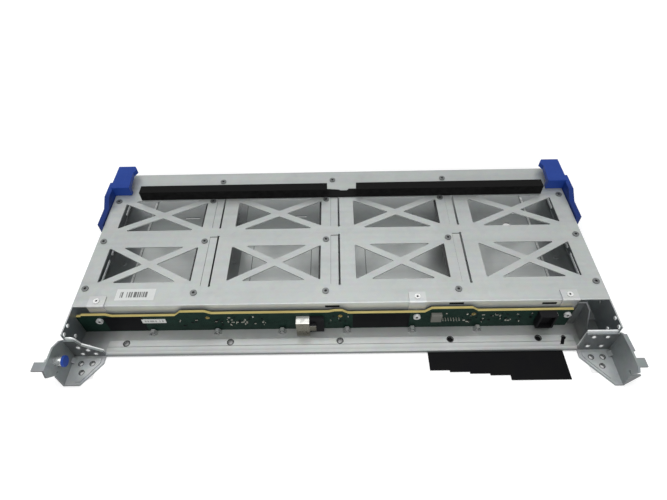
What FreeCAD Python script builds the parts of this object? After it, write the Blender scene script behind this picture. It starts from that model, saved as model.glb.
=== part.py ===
import FreeCAD, Part
import Sketcher
import math
import os
from types import SimpleNamespace

# Drive cage for four 3.5 inch drives, in millimetres.
# X runs along the cage, Y points to the side where the drives go in, Z is up.
# The origin lies on the base plane, under the middle of the cover's front edge.

BAYS = 4
DIVIDERS = BAYS - 1
WINDOW_ROWS = 2
HOOKS = 6
HEADER_PINS = 7
POWER_PINS = 5
FLAP_STEPS = 4
SPRING_TURNS = 5
SPRING_STEPS = 10
LEFT = -1
RIGHT = 1

# Driving dimensions: the name of each cell of the sheet and its size.
dimensions = {
    # box of the cage
    "bay_pitch": 108.7,
    "outer_bay_trim": 0.9,
    "bay_shift": -0.7,
    "cage_height": 32.0,
    "cover_depth": 160.0,
    "sheet": 1.0,
    "bend_radius": 1.5,
    # top cover
    "cover_edge": 0.6,
    "apron_depth": 12.5,
    "apron_inset": 25.5,
    "vent_width": 11.8,
    "vent_height": 3.0,
    "vent_left": -11.7,
    "vent_middle": 88.6,
    "vent_right": 163.6,
    "vent_low": 25.6,
    "vent_high": 27.2,
    "window_front": 23.3,
    "window_margin": 4.5,
    "row_bar": 19.8,
    "brace_width": 6.1,
    "front_brace_slope": 0.58,
    "rear_brace_slope": 0.5,
    "window_corner": 0.8,
    "column_gap": 11.6,
    "slit_shift": 1.15,
    "slit_width": 1.7,
    "slit_start": 19.0,
    "slit_lap": 11.5,
    "slit_gap": 11.0,
    "slit_relief": 1.1,
    "tongue_width": 6.6,
    "tongue_drop": 0.35,
    # rivets of the cage
    "rivet_radius": 1.5,
    "rivet_head": 2.4,
    "cover_rivet_head": 2.85,
    "rivet_height": 0.7,
    "rivet_dimple": 1.15,
    "rivet_clearance": 0.05,
    "front_row": 12.0,
    "middle_row_margin": 6.05,
    "rear_row_margin": 2.9,
    "end_row_inset": 12.4,
    "end_row_shift": 6.0,
    "side_rivet_inset": 5.4,
    "side_front_row": 17.8,
    "side_row_shift": 1.5,
    "foot_rivet_inset": 14.0,
    "divider_foot_rivet": 10.0,
    # side walls
    "head_flange": 13.0,
    "foot_flange": 28.0,
    "cheek_length": 26.6,
    "cheek_gap": 0.3,
    "flange_drop": 4.5,
    "front_flange": 25.0,
    "slope_top": 8.0,
    "slope_knee": 11.0,
    "slope_knee_height": 18.0,
    "slope_height": 8.0,
    "flange_corner": 5.0,
    "shear_radius": 1.8,
    "shear_height": 1.0,
    "shear_round": 0.7,
    "shear_drop": 2.7,
    "shear_rear": 16.4,
    "shear_front": 24.3,
    "shear_low": 14.0,
    "shear_inside": 7.0,
    "shear_inside_height": 18.0,
    "guide_length": 27.3,
    "guide_depth": 1.0,
    "guide_slot": 1.8,
    "guide_front": 44.3,
    "guide_middle": 77.2,
    "guide_rear": 130.1,
    "guide_short": 17.7,
    "guide_height": 4.4,
    # dividers
    "divider_flange": 17.0,
    "divider_front": 9.0,
    "divider_rear": 2.0,
    # floor pan
    "ledge_front": 28.5,
    "ledge_start": 13.6,
    "ledge_joggle": 1.6,
    "ledge_step": 2.6,
    "bead_start": 21.0,
    "bead_rise": 0.6,
    "bead_slope": 0.8,
    "ledge_inset": 25.5,
    "ledge_slit": 0.3,
    "lip_gap": 1.0,
    "lip_radius": 2.6,
    "ledge_hole": 2.2,
    "ledge_hole_row": 18.0,
    "ledge_hole_pitch": 90.4,
    "ledge_first_hole": -176.5,
    "ledge_end_hole": 162.2,
    "hook_first": -157.0,
    "hook_width": 7.0,
    "hook_height": 4.4,
    "hook_gap": 1.2,
    "hook_depth": 3.2,
    "hook_leg": 1.3,
    "hook_crown": 2.6,
    "floor_hole": 4.1,
    "floor_hole_x": 167.0,
    "floor_hole_y": 110.9,
    "floor_slot_near": 8.0,
    "floor_slot_length": 15.0,
    "floor_slot_width": 1.8,
    "floor_slot_row": 32.5,
    "ear_inset": 19.0,
    "ear_return": 5.5,
    "ear_rear": 3.0,
    "ear_top_length": 7.0,
    "ear_length": 15.5,
    "ear_shoulder": 16.0,
    "notch_inset": 35.0,
    "notch_row": 21.0,
    "notch_width": 3.0,
    "notch_length": 7.0,
    "notch_slant": 3.4,
    "notch_eye": 2.0,
    # board and its clips
    "board_gap": 2.2,
    "board_thickness": 2.2,
    "board_left_inset": 5.5,
    "board_right_inset": 27.6,
    "board_drop": 7.0,
    "board_low_drop": 9.1,
    "board_bump_drop": 4.2,
    "board_small_drop": 5.5,
    "board_right_drop": 8.1,
    "board_left_step": 20.0,
    "bump_left": 97.0,
    "bump_left_width": 20.0,
    "bump_middle": -1.0,
    "bump_middle_width": 6.0,
    "bump_right": 90.7,
    "bump_right_width": 33.0,
    "bump_slope": 5.0,
    "board_tab": 4.2,
    "board_tab_drop": 8.6,
    "clip_width": 13.6,
    "clip_reach": 9.2,
    "clip_leg": 17.0,
    "clip_corner": 1.2,
    "clip_rivet_row": 4.3,
    "clip_bore": 0.9,
    "clip_bore_depth": 1.6,
    "clip_left": 19.3,
    "clip_middle": 63.0,
    "clip_right": 31.2,
    "screw_drop": 14.0,
    "screw_radius": 1.25,
    "screw_head": 2.9,
    "screw_head_height": 1.8,
    "screw_hole": 1.7,
    "screw_clearance": 0.05,
    "boss_radius": 3.0,
    "board_hole": 1.6,
    # connectors and films
    "socket_width": 43.0,
    "socket_height": 8.0,
    "socket_depth": 8.5,
    "socket_bottom": 6.0,
    "socket_shift": -13.0,
    "socket_slot": 2.6,
    "socket_slot_depth": 6.0,
    "socket_wall": 3.0,
    "shell_left": -35.6,
    "shell_width": 10.8,
    "shell_depth": 7.5,
    "shell_height": 18.4,
    "shell_round": 0.6,
    "connector_foot": 0.8,
    "connector_gap": 0.3,
    "housing_width": 11.4,
    "housing_depth": 3.5,
    "housing_height": 18.4,
    "latch_width": 4.5,
    "latch_depth": 1.8,
    "header_left": 74.5,
    "header_width": 8.5,
    "header_depth": 3.1,
    "header_height": 9.3,
    "header_foot": 12.0,
    "header_pin_rise": 1.0,
    "header_pin_pitch": 2.2,
    "header_round": 0.4,
    "pin_size": 0.8,
    "pin_pitch": 2.54,
    "pin_length": 2.8,
    "power_inset": 55.5,
    "power_width": 14.0,
    "power_depth": 6.0,
    "power_height": 17.4,
    "power_foot": 5.0,
    "power_wall": 1.6,
    "film_thickness": 0.25,
    "film_foot": 1.5,
    "film_height": 19.5,
    "film_left_inset": 23.0,
    "film_left_width": 32.0,
    "film_middle": 10.8,
    "film_middle_width": 46.5,
    # foam on the cover
    "foam_inset": 27.7,
    "foam_width": 9.3,
    "foam_height": 10.0,
    "foam_margin": 1.2,
    "foam_left_inset": 27.0,
    "foam_right_inset": 22.0,
    "foam_gap_left": -10.2,
    "foam_gap_right": 17.6,
    "bridge_height": 1.4,
    "bridge_width": 10.4,
    "bridge_tear": 2.3,
    "bridge_tear_left": 1.0,
    "bridge_tear_width": 9.7,
    "bridge_tear_slope": 1.9,
    # latch levers
    "lever_gap": 0.6,
    "arm_thickness": 4.5,
    "pivot_inset": 63.0,
    "pivot_height": 18.0,
    "arm_lift": 2.5,
    "arm_rise": 9.2,
    "handle_rise": 10.6,
    "arm_boss": 8.0,
    "arm_tip": 8.0,
    "arm_knee": 12.5,
    "arm_shoulder": 22.4,
    "arm_heel": 42.0,
    "handle_front": 29.9,
    "handle_overhang": 1.2,
    "handle_thickness": 4.7,
    "handle_outer": 2.0,
    "handle_inner": 14.4,
    "handle_leg": 4.4,
    "handle_gap": 0.3,
    "notch_depth": 2.6,
    "handle_round": 0.8,
    "pivot_radius": 2.5,
    "pivot_shank": 2.0,
    "pivot_collar": 3.6,
    "pivot_head_height": 0.9,
    "pivot_tail_height": 0.6,
    "pivot_clearance": 0.05,
    # corner brackets
    "bracket_sheet": 1.5,
    "bracket_offset": 0.3,
    "bracket_inset": 25.0,
    "bracket_drop": 7.0,
    "bracket_shoulder_left": 3.9,
    "bracket_shoulder_right": 2.5,
    "bracket_crest_left": 9.0,
    "bracket_crest_right": 3.8,
    "bracket_crest_start_left": 11.9,
    "bracket_crest_start_right": 18.0,
    "bracket_reach_left": 25.4,
    "bracket_reach_right": 30.6,
    "bracket_corner": 7.9,
    "bracket_toe_left": 11.7,
    "bracket_toe_right": 5.3,
    "bracket_lobe_left": 6.5,
    "bracket_lobe_right": 2.5,
    "bracket_drop_left": 7.2,
    "bracket_drop_right": 2.5,
    "bracket_tab_left": 8.2,
    "bracket_tab_right": 6.0,
    "bracket_flare": 6.0,
    "bracket_lip": 1.7,
    "bracket_lip_start": 3.0,
    "bracket_notch": 1.8,
    "bracket_notch_depth": 4.0,
    "bracket_notch_height": 16.0,
    "bracket_tab_width": 7.2,
    "bracket_tab_start": 24.0,
    "gusset_start": 2.0,
    "gusset_length": 5.0,
    "gusset_size": 2.8,
    "bracket_hole": 1.9,
    "bracket_hole_row": 8.5,
    "bracket_hole_inset": 8.6,
    "bracket_hole_pitch": 9.2,
    "bracket_hole_depth": 7.9,
    "bracket_hole_side": 6.3,
    "bracket_rivet_far": 8.4,
    "bracket_rivet_near": 19.1,
    "bracket_rivet_low": 8.2,
    "bracket_rivet_high": 21.8,
    "slope_rivet_low": 6.4,
    "slope_rivet_high": 16.3,
    "slope_rivet_inset": 14.8,
    "slope_rivet_middle": 12.2,
    "plateau_height": 0.6,
    "plateau_margin": 2.5,
    "plateau_gap": 7.5,
    # spring plunger
    "plunger_row": 17.9,
    "plunger_height": 24.0,
    "bushing_radius": 3.8,
    "bushing_length": 5.5,
    "bushing_shank": 2.95,
    "bushing_nose": 3.0,
    "bushing_wall": 0.8,
    "bushing_bore": 2.2,
    "nose_radius": 1.5,
    "nose_length": 4.0,
    "pin_collar": 2.1,
    "pin_collar_length": 0.8,
    "stem_radius": 1.2,
    "plunger_clearance": 0.05,
    "knob_radius": 4.4,
    "knob_length": 2.0,
    "knob_gap": 0.3,
    "knob_cap": 0.5,
    "knob_round": 0.5,
    "spring_radius": 1.7,
    "spring_wire": 0.4,
    # flap under the lip
    "flap_inset": 36.5,
    "flap_width": 109.0,
    "flap_thickness": 0.6,
    "flap_rear": 16.0,
    "flap_fold": 21.2,
    "flap_drop": 3.0,
    "flap_front": 53.2,
    "flap_short": 44.1,
    "flap_step_width": 15.6,
    "flap_step_depth": 1.6,
}


class Size:
    # A length together with the sheet formula that gives it.

    def __init__(self, value, formula):
        self.value = float(value)
        self.formula = formula

    def __add__(self, other):
        other = size_of(other)
        return Size(self.value + other.value, f"({self.formula} + {other.formula})")

    def __radd__(self, other):
        return size_of(other) + self

    def __sub__(self, other):
        other = size_of(other)
        return Size(self.value - other.value, f"({self.formula} - {other.formula})")

    def __rsub__(self, other):
        return size_of(other) - self

    def __mul__(self, other):
        other = size_of(other)
        return Size(self.value * other.value, f"({self.formula} * {other.formula})")

    def __rmul__(self, other):
        return size_of(other) * self

    def __truediv__(self, other):
        other = size_of(other)
        return Size(self.value / other.value, f"({self.formula} / {other.formula})")

    def __neg__(self):
        return size_of(-1) * self

    def root(self):
        return Size(math.sqrt(self.value), f"sqrt({self.formula})")


def size_of(number):
    if isinstance(number, Size):
        return number
    return Size(number, repr(float(number)))


doc = FreeCAD.newDocument("drive_cage")
sheet = doc.addObject("Spreadsheet::Sheet", "Sizes")
for row, (name, value) in enumerate(dimensions.items(), start=1):
    sheet.set(f"A{row}", name)
    sheet.set(f"B{row}", str(value))
    sheet.setAlias(f"B{row}", name)
doc.recompute()
d = SimpleNamespace(**{name: Size(getattr(sheet, name), f"Sizes.{name}") for name in dimensions})

# Places that several pieces share.
half = (d.bay_pitch * BAYS - d.outer_bay_trim * 2) / 2
top = d.cage_height
under = top - d.sheet
first_bay = d.bay_shift - d.bay_pitch * (BAYS - 1) / 2
slit_x = first_bay + d.bay_pitch / 2 + d.slit_shift
column_x = slit_x - d.column_gap
foam_rear = d.cover_depth - d.foam_inset
foam_front = foam_rear - d.foam_width
window_half = column_x - d.window_margin - first_bay
window_depth = (foam_front - d.foam_margin - d.window_front - d.row_bar) / WINDOW_ROWS
row_pitch = window_depth + d.row_bar
slit_end = d.window_front + window_depth + d.slit_lap
rear_slit = slit_end + d.slit_gap
middle_row = d.window_front + window_depth + d.middle_row_margin
rear_row = foam_front - d.rear_row_margin
rivet_rows = [d.front_row, middle_row, rear_row]
side_rows = [d.side_front_row, middle_row + d.side_row_shift, rear_row + d.side_row_shift]
end_row = d.cover_depth - d.end_row_inset
rivet_hole = d.rivet_radius + d.rivet_clearance
board_rear = -d.board_gap
board_front = board_rear - d.board_thickness
screw_z = top - d.screw_drop
clip_places = [d.clip_left - half, d.clip_middle, half - d.clip_right]
pivot_y = d.cover_depth - d.pivot_inset
bracket_rear = -d.cheek_length
bracket_front = bracket_rear - d.bracket_sheet
bracket_inner = half + d.bracket_offset
bracket_outer = bracket_inner + d.bracket_sheet
bracket_top = top - d.bracket_drop


def rect(u0, v0, u1, v1):
    return [(u0, v0), (u1, v0), (u1, v1), (u0, v1)]


def disc(u, v, radius):
    return SimpleNamespace(u=u, v=v, radius=radius)


def bind(owner, path, size):
    # Ties one property or constraint of an object to the sheet.
    if "Sizes." in size.formula:
        owner.setExpression(path, size.formula)


def draw(sketch, outlines):
    # Draws closed polygons and circles, each point held from the sketch's origin.
    held = []

    def hold(kind, size, *where):
        size = size_of(size)
        held.append((Sketcher.Constraint(kind, *where, size.value), size))

    links = []
    for outline in outlines:
        if isinstance(outline, SimpleNamespace):
            centre = FreeCAD.Vector(size_of(outline.u).value, size_of(outline.v).value, 0)
            radius = size_of(outline.radius).value
            circle = sketch.addGeometry(Part.Circle(centre, FreeCAD.Vector(0, 0, 1), radius))
            hold("DistanceX", outline.u, -1, 1, circle, 3)
            hold("DistanceY", outline.v, -1, 1, circle, 3)
            hold("Radius", outline.radius, circle)
            continue
        points = [FreeCAD.Vector(size_of(u).value, size_of(v).value, 0) for u, v in outline]
        ends = points[1:] + points[:1]
        lines = sketch.addGeometry([Part.LineSegment(a, b) for a, b in zip(points, ends)])
        for number, line in enumerate(lines):
            links.append(Sketcher.Constraint("Coincident", line, 2, lines[(number + 1) % len(lines)], 1))
            hold("DistanceX", outline[number][0], -1, 1, line, 1)
            hold("DistanceY", outline[number][1], -1, 1, line, 1)
    sketch.addConstraint([constraint for constraint, size in held] + links)
    for number, (constraint, size) in enumerate(held):
        bind(sketch, f"Constraints[{number}]", size)


def new_body(label):
    body = doc.addObject("PartDesign::Body", label)
    body.Label = label
    return body


def new_sketch(body, plane, at, outlines):
    # A sketch on one of the body's own planes; at is its place along the plane's axis.
    sketch = body.newObject("Sketcher::SketchObject", "sketch")
    support = next(f for f in body.Origin.OriginFeatures if f.Role == f"{plane}_Plane")
    sketch.AttachmentSupport = (support, "")
    sketch.MapMode = "FlatFace"
    offset = -size_of(at) if plane == "XZ" else size_of(at)
    sketch.AttachmentOffset = FreeCAD.Placement(FreeCAD.Vector(0, 0, offset.value), FreeCAD.Rotation())
    bind(sketch, "AttachmentOffset.Base.z", offset)
    draw(sketch, outlines)
    return sketch


def extrude(kind, body, plane, start, end, outlines):
    # Adds or cuts the outlines between two places along the plane's axis.
    start = size_of(start)
    end = size_of(end)
    low, high = (start, end) if start.value < end.value else (end, start)
    feature = body.newObject(f"PartDesign::{kind}", kind)
    feature.Profile = new_sketch(body, plane, low, outlines)
    feature.Length = (high - low).value
    bind(feature, "Length", high - low)
    feature.Reversed = (plane == "XZ") == (kind == "Pad")
    return feature


def add(body, plane, start, end, *outlines):
    return extrude("Pad", body, plane, start, end, outlines)


def cut(body, plane, start, end, *outlines):
    return extrude("Pocket", body, plane, start, end, outlines)


def revolve(body, profile):
    # Turns a closed profile of (x, radius) points about the X axis.
    feature = body.newObject("PartDesign::Revolution", "Revolution")
    feature.Profile = new_sketch(body, "XZ", 0, [profile])
    feature.ReferenceAxis = (feature.Profile[0], ["H_Axis"])
    feature.Angle = 360
    return feature


def repeat(body, originals, *steps):
    # Repeats features along the sketch axes; each step is (axis, pitch, count).
    multi = body.newObject("PartDesign::MultiTransform", "MultiTransform")
    sketch = originals[0].Profile[0]
    patterns = []
    for axis, pitch, count in steps:
        pattern = body.newObject("PartDesign::LinearPattern", "LinearPattern")
        pattern.Direction = (sketch, [axis])
        length = pitch * (count - 1)
        pattern.Length = length.value
        bind(pattern, "Length", length)
        pattern.Occurrences = count
        patterns.append(pattern)
    multi.Originals = originals
    multi.Transformations = patterns
    body.Tip = multi
    return multi


def straight(edge, axis):
    direction = edge.Vertexes[-1].Point - edge.Vertexes[0].Point
    if direction.Length < 1e-6 or not isinstance(edge.Curve, Part.Line):
        return False
    return abs(direction.normalize().dot(axis)) > 0.999


def along_x(*places):
    return edges_along(FreeCAD.Vector(1, 0, 0), places)


def along_y(*places):
    return edges_along(FreeCAD.Vector(0, 1, 0), places)


def edges_along(axis, places):
    # Picks the straight edges that run along an axis through the given places on the other two.
    wanted = [tuple(size_of(value).value for value in place) for place in places]

    def chosen(edge):
        if not straight(edge, axis):
            return False
        point = edge.Vertexes[0].Point
        across = [value for value, part in zip(point, axis) if part == 0]
        return any(math.dist(across, place) < 0.01 for place in wanted)

    return chosen


def round_edges(body, radius, chosen):
    doc.recompute()
    base = body.Tip
    names = [f"Edge{number}" for number, edge in enumerate(base.Shape.Edges, start=1) if chosen(edge)]
    fillet = body.newObject("PartDesign::Fillet", "Fillet")
    fillet.Base = (base, names)
    radius = size_of(radius)
    fillet.Radius = radius.value
    bind(fillet, "Radius", radius)
    return fillet


def place(body, x=0, y=0, z=0):
    # Sets a finished body in the cage.
    for axis, size in (("x", size_of(x)), ("y", size_of(y)), ("z", size_of(z))):
        bind(body, f"Placement.Base.{axis}", size)


def cover_rivet_places():
    places = [(side * (half - d.side_rivet_inset), y) for side in (LEFT, RIGHT) for y in side_rows]
    for number in range(DIVIDERS):
        places += [(column_x + d.bay_pitch * number, y) for y in rivet_rows]
        places.append((column_x + d.end_row_shift + d.bay_pitch * number, end_row))
    return places


def floor_rivet_places():
    places = [(side * (half - d.foot_rivet_inset), y) for side in (LEFT, RIGHT) for y in rivet_rows]
    for number in range(DIVIDERS):
        foot = slit_x + d.divider_foot_rivet + d.bay_pitch * number
        places += [(foot, y) for y in rivet_rows]
    return places


def window_triangles(front, slope):
    # Four triangles leave the two braces of a window; the slope is that of the braces.
    middle = front + window_depth / 2
    lean = (slope * slope + 1).root()
    gap_y = d.brace_width / 2 * lean
    gap_x = gap_y / slope
    reach_x = (window_depth / 2 - gap_y) / slope
    reach_y = (window_half - gap_x) * slope
    triangles = []
    for sign in (-1, 1):
        edge_y = middle + sign * window_depth / 2
        edge_x = first_bay + sign * window_half
        triangles.append([
            (first_bay - reach_x, edge_y), (first_bay, middle + sign * gap_y), (first_bay + reach_x, edge_y)])
        triangles.append([
            (edge_x, middle - reach_y), (first_bay + sign * gap_x, middle), (edge_x, middle + reach_y)])
    return triangles


def make_top_cover():
    body = new_body("top_cover")
    apron_end = half - d.apron_inset
    add(body, "XY", under, top, rect(-half, 0, half, d.cover_depth))
    add(body, "XZ", 0, d.sheet, rect(-apron_end, top - d.apron_depth, apron_end, top))
    round_edges(body, d.cover_edge, along_x((0, top)))
    vents = [(d.vent_left, d.vent_low), (d.vent_middle, d.vent_high), (d.vent_right, d.vent_low)]
    cut(body, "XZ", 0, d.sheet, *[rect(x, z, x + d.vent_width, z + d.vent_height) for x, z in vents])

    rows = [(d.window_front, d.front_brace_slope), (d.window_front + row_pitch, d.rear_brace_slope)]
    windows = [cut(body, "XY", under, top, *window_triangles(front, slope)) for front, slope in rows]
    repeat(body, windows, ("H_Axis", d.bay_pitch, BAYS))
    upright = FreeCAD.Vector(0, 0, 1)
    near = d.window_front.value - 1
    far = foam_front.value
    round_edges(body, d.window_corner, lambda edge: straight(edge, upright)
                and near < edge.Vertexes[0].Y < far and abs(edge.Vertexes[0].X) < half.value - 1)

    # Long slits over the dividers, each with a lowered tongue beside it and a relief at its ends.
    slit_left = slit_x - d.slit_width / 2
    slit_right = slit_x + d.slit_width / 2
    rear_end = foam_front + d.foam_margin
    spans = [(d.slit_start, slit_end), (rear_slit, rear_end)]
    slits = cut(body, "XY", under, top, *[rect(slit_left, y0, slit_right, y1) for y0, y1 in spans])
    reliefs = cut(body, "XY", under, top, disc(slit_x, slit_end, d.slit_relief),
                  disc(slit_x, d.slit_start, d.slit_relief), disc(slit_x, rear_slit, d.slit_relief))
    tongue_left = slit_left - d.tongue_width
    tongues = cut(body, "XY", top - d.tongue_drop, top,
                  *[rect(tongue_left, y0, slit_left, y1) for y0, y1 in spans])
    repeat(body, [slits, reliefs, tongues], ("H_Axis", d.bay_pitch, DIVIDERS))

    rivets = [disc(x, y, rivet_hole) for x, y in cover_rivet_places()]
    clips = [disc(x, d.clip_rivet_row, rivet_hole) for x in clip_places]
    cut(body, "XY", under, top, *rivets, *clips)


def make_floor_pan():
    body = new_body("floor_pan")
    ledge_end = half - d.ledge_inset
    slab_end = ledge_end + d.ledge_slit
    front = -d.cheek_length
    step = -d.ledge_start
    add(body, "XY", 0, d.sheet, [
        (-half, front), (-slab_end, front), (-slab_end, step), (slab_end, step),
        (slab_end, front), (half, front), (half, d.cover_depth), (-half, d.cover_depth)])

    # The front ledge steps up from the floor and ends in a rounded lip.
    lip_front = -d.ledge_front
    lip_rear = lip_front + d.sheet
    ledge_top = d.ledge_step + d.sheet
    raised = step - d.ledge_joggle
    bead = -d.bead_start
    bead_front = bead - d.bead_slope
    bead_under = d.ledge_step + d.bead_rise
    bead_top = ledge_top + d.bead_rise
    add(body, "YZ", -ledge_end, ledge_end, [
        (step, 0), (raised, d.ledge_step), (bead, d.ledge_step), (bead_front, bead_under),
        (lip_rear, bead_under), (lip_rear, d.lip_gap), (lip_front, d.lip_gap), (lip_front, bead_top),
        (bead_front, bead_top), (bead, ledge_top), (raised, ledge_top), (step, d.sheet),
        (step + d.sheet, d.sheet), (step + d.sheet, 0)])
    round_edges(body, d.lip_radius, along_x((lip_front, bead_top)))
    round_edges(body, d.lip_radius - d.sheet, along_x((lip_rear, bead_under)))

    # Small bridges lanced up in front of the board, and the holes that they leave.
    hook_rear = board_front - d.hook_gap
    hook_front = hook_rear - d.hook_depth
    foot = d.hook_width / 2
    toe = foot - d.hook_leg
    crown = d.hook_crown / 2
    hook_top = d.sheet + d.hook_height
    hook_x = d.hook_first
    hook = add(body, "XZ", hook_front, hook_rear, [
        (hook_x - foot, 0), (hook_x - foot, d.sheet), (hook_x - crown, hook_top), (hook_x + crown, hook_top),
        (hook_x + foot, d.sheet), (hook_x + foot, 0), (hook_x + toe, 0), (hook_x + toe, d.sheet),
        (hook_x + crown / 2, hook_top - d.sheet), (hook_x - crown / 2, hook_top - d.sheet),
        (hook_x - toe, d.sheet), (hook_x - toe, 0)])
    repeat(body, [hook], ("H_Axis", d.bay_pitch / 2, HOOKS))
    hole = cut(body, "XY", 0, d.sheet, rect(hook_x - toe, hook_front, hook_x + toe, hook_rear))
    repeat(body, [hole], ("H_Axis", d.bay_pitch / 2, HOOKS))

    # An upright ear, folded twice, stands past the right-hand end of the board.
    ear_outer = half - d.ear_inset
    ear_inner = ear_outer - d.sheet
    ear_rear = -d.ear_rear
    ear_knee = ear_rear - d.ear_top_length
    ear_front = ear_rear - d.ear_length
    add(body, "YZ", ear_inner, ear_outer, [
        (ear_rear, 0), (ear_rear, under), (ear_knee, under), (ear_front, d.ear_shoulder), (ear_front, 0)])
    add(body, "XZ", ear_rear, ear_rear + d.sheet, rect(ear_inner - d.ear_return, 0, ear_outer, under))

    # Holes of the ledge, a slanted cable notch at its right end and a slot in the floor of each bay.
    row = -d.ledge_hole_row
    holes = [disc(d.ledge_hole_pitch * number, row, d.ledge_hole) for number in (-1, 0, 1)]
    holes += [disc(x, row, d.ledge_hole) for x in (d.ledge_first_hole, d.ledge_end_hole)]
    notch = half - d.notch_inset
    notch_front = -d.notch_row - d.notch_length / 2
    notch_rear = notch_front + d.notch_length
    cut(body, "XY", d.ledge_step, bead_top, *holes, [
        (notch - d.notch_slant, notch_front), (notch - d.notch_slant + d.notch_width, notch_front),
        (notch + d.notch_width, notch_rear), (notch, notch_rear)])
    cut(body, "XY", d.ledge_step, bead_top, disc(notch + d.notch_width / 2, notch_rear, d.notch_eye))
    slot_left = first_bay + d.floor_slot_near
    slot_y = d.cover_depth - d.floor_slot_row
    slot = cut(body, "XY", 0, d.sheet,
               rect(slot_left, slot_y, slot_left + d.floor_slot_length, slot_y + d.floor_slot_width))
    repeat(body, [slot], ("H_Axis", d.bay_pitch, BAYS))
    cut(body, "XY", 0, d.sheet, disc(d.floor_hole_x, d.floor_hole_y, d.floor_hole),
        *[disc(x, y, rivet_hole) for x, y in floor_rivet_places()])


def front_outline(side, outer, edge, foot, head):
    # Outline across a front corner: square on the right, falling to the floor in two slopes on the left.
    if side == RIGHT:
        return rect(outer, foot, edge, head)
    return [(outer, foot), (edge, foot), (edge, d.slope_height), (d.slope_knee - half, d.slope_knee_height),
            (d.slope_top - half, head), (outer, head)]


def guide_outlines(bottom, height):
    # The same three guides, and the slots above them, serve both walls and all dividers.
    runs = [(d.guide_front, d.guide_length), (d.guide_middle, d.guide_short), (d.guide_rear, d.guide_short)]
    return [rect(y, bottom, y + length, bottom + height) for y, length in runs]


def make_side_wall(label, side):
    body = new_body(label)
    outer = side * half
    inner = side * (half - d.sheet)
    head_end = side * (half - d.head_flange)
    foot_end = side * (half - d.foot_flange)
    add(body, "XZ", 0, d.cover_depth, [
        (outer, d.sheet), (outer, under), (head_end, under), (head_end, under - d.sheet),
        (inner, under - d.sheet), (inner, d.sheet * 2), (foot_end, d.sheet * 2), (foot_end, d.sheet)])
    round_edges(body, d.bend_radius, along_y((outer, d.sheet), (outer, under)))
    round_edges(body, d.bend_radius - d.sheet, along_y((inner, under - d.sheet), (inner, d.sheet * 2)))

    # The cheek runs forward past the cover and turns inward as the front flange.
    front = -d.cheek_length
    add(body, "YZ", inner, outer, [
        (front, d.sheet), (0, d.sheet), (0, under), (-d.cheek_gap, under), (-d.cheek_gap, top), (front, top)])
    flange_top = top - d.flange_drop
    flange_end = side * (half - d.front_flange)
    add(body, "XZ", front, front + d.sheet, front_outline(side, outer, flange_end, d.sheet, flange_top))
    if side == LEFT:
        round_edges(body, d.flange_corner, along_y((d.slope_top - half, flange_top)))

    # Pressed dots stand on the cheek's inner face.
    high = top - d.shear_drop
    dots = [(-d.shear_rear, high), (-d.shear_front, high), (-d.shear_rear, d.shear_low)]
    if side == RIGHT:
        dots.append((d.shear_inside, d.shear_inside_height))
    dot_face = inner - side * d.shear_height
    add(body, "YZ", inner, dot_face, *[disc(y, z, d.shear_radius) for y, z in dots])
    round_edges(body, d.shear_round, lambda edge: isinstance(edge.Curve, Part.Circle)
                and edge.BoundBox.XLength < 0.01 and abs(edge.BoundBox.XMin - dot_face.value) < 0.01)

    # Guides lanced inward, each below the slot that it leaves.
    ledges = guide_outlines(d.guide_height - d.sheet, d.sheet)
    add(body, "YZ", inner, inner - side * d.guide_depth, *ledges)
    cut(body, "YZ", inner, outer, *guide_outlines(d.guide_height, d.guide_slot))

    cut(body, "YZ", inner, outer, disc(pivot_y, d.pivot_height, d.pivot_shank))
    head_x = side * (half - d.side_rivet_inset)
    cut(body, "XY", under - d.sheet, under, *[disc(head_x, y, rivet_hole) for y in side_rows])
    foot_x = side * (half - d.foot_rivet_inset)
    cut(body, "XY", d.sheet, d.sheet * 2, *[disc(foot_x, y, rivet_hole) for y in rivet_rows])
    cut(body, "XZ", front, front + d.sheet, *[disc(x, z, rivet_hole) for x, z in bracket_rivet_places(side)])


def make_divider(number):
    # Z-section with its head flange to the left and its foot to the right of the web.
    body = new_body(f"divider_{number + 1}")
    right = -d.slit_width / 2
    left = right - d.sheet
    head_end = right - d.divider_flange
    foot_end = left + d.divider_flange
    front = d.divider_front
    rear = d.cover_depth - d.divider_rear
    add(body, "XZ", front, rear, [
        (head_end, under), (right, under), (right, d.sheet * 2), (foot_end, d.sheet * 2),
        (foot_end, d.sheet), (left, d.sheet), (left, under - d.sheet), (head_end, under - d.sheet)])
    round_edges(body, d.bend_radius, along_y((right, under), (left, d.sheet)))
    round_edges(body, d.bend_radius - d.sheet, along_y((left, under - d.sheet), (right, d.sheet * 2)))
    ledges = guide_outlines(d.guide_height - d.sheet, d.sheet)
    add(body, "YZ", left - d.guide_depth, right + d.guide_depth, *ledges)
    head_x = -d.column_gap
    heads = [disc(head_x, y, rivet_hole) for y in rivet_rows]
    heads.append(disc(head_x + d.end_row_shift, end_row, rivet_hole))
    cut(body, "XY", under - d.sheet, under, *heads)
    cut(body, "XY", d.sheet, d.sheet * 2, *[disc(d.divider_foot_rivet, y, rivet_hole) for y in rivet_rows])
    place(body, x=slit_x + d.bay_pitch * number)


def make_rivets(label, plane, places, tail, seat, head_top, head):
    # Separate rivets: a head and a shank, along the plane's axis.
    body = new_body(label)
    add(body, plane, seat, head_top, *[disc(u, v, head) for u, v in places])
    add(body, plane, tail, seat, *[disc(u, v, d.rivet_radius) for u, v in places])
    return body


def make_cover_rivets():
    head_top = top + d.rivet_height
    tail = under - d.sheet - d.rivet_height
    places = cover_rivet_places()
    body = make_rivets("cover_rivets", "XY", places, tail, top, head_top, d.cover_rivet_head)
    add(body, "XY", tail, tail + d.rivet_height, *[disc(x, y, d.rivet_head) for x, y in places])
    cut(body, "XY", top, head_top, *[disc(x, y, d.rivet_dimple) for x, y in places])


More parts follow.
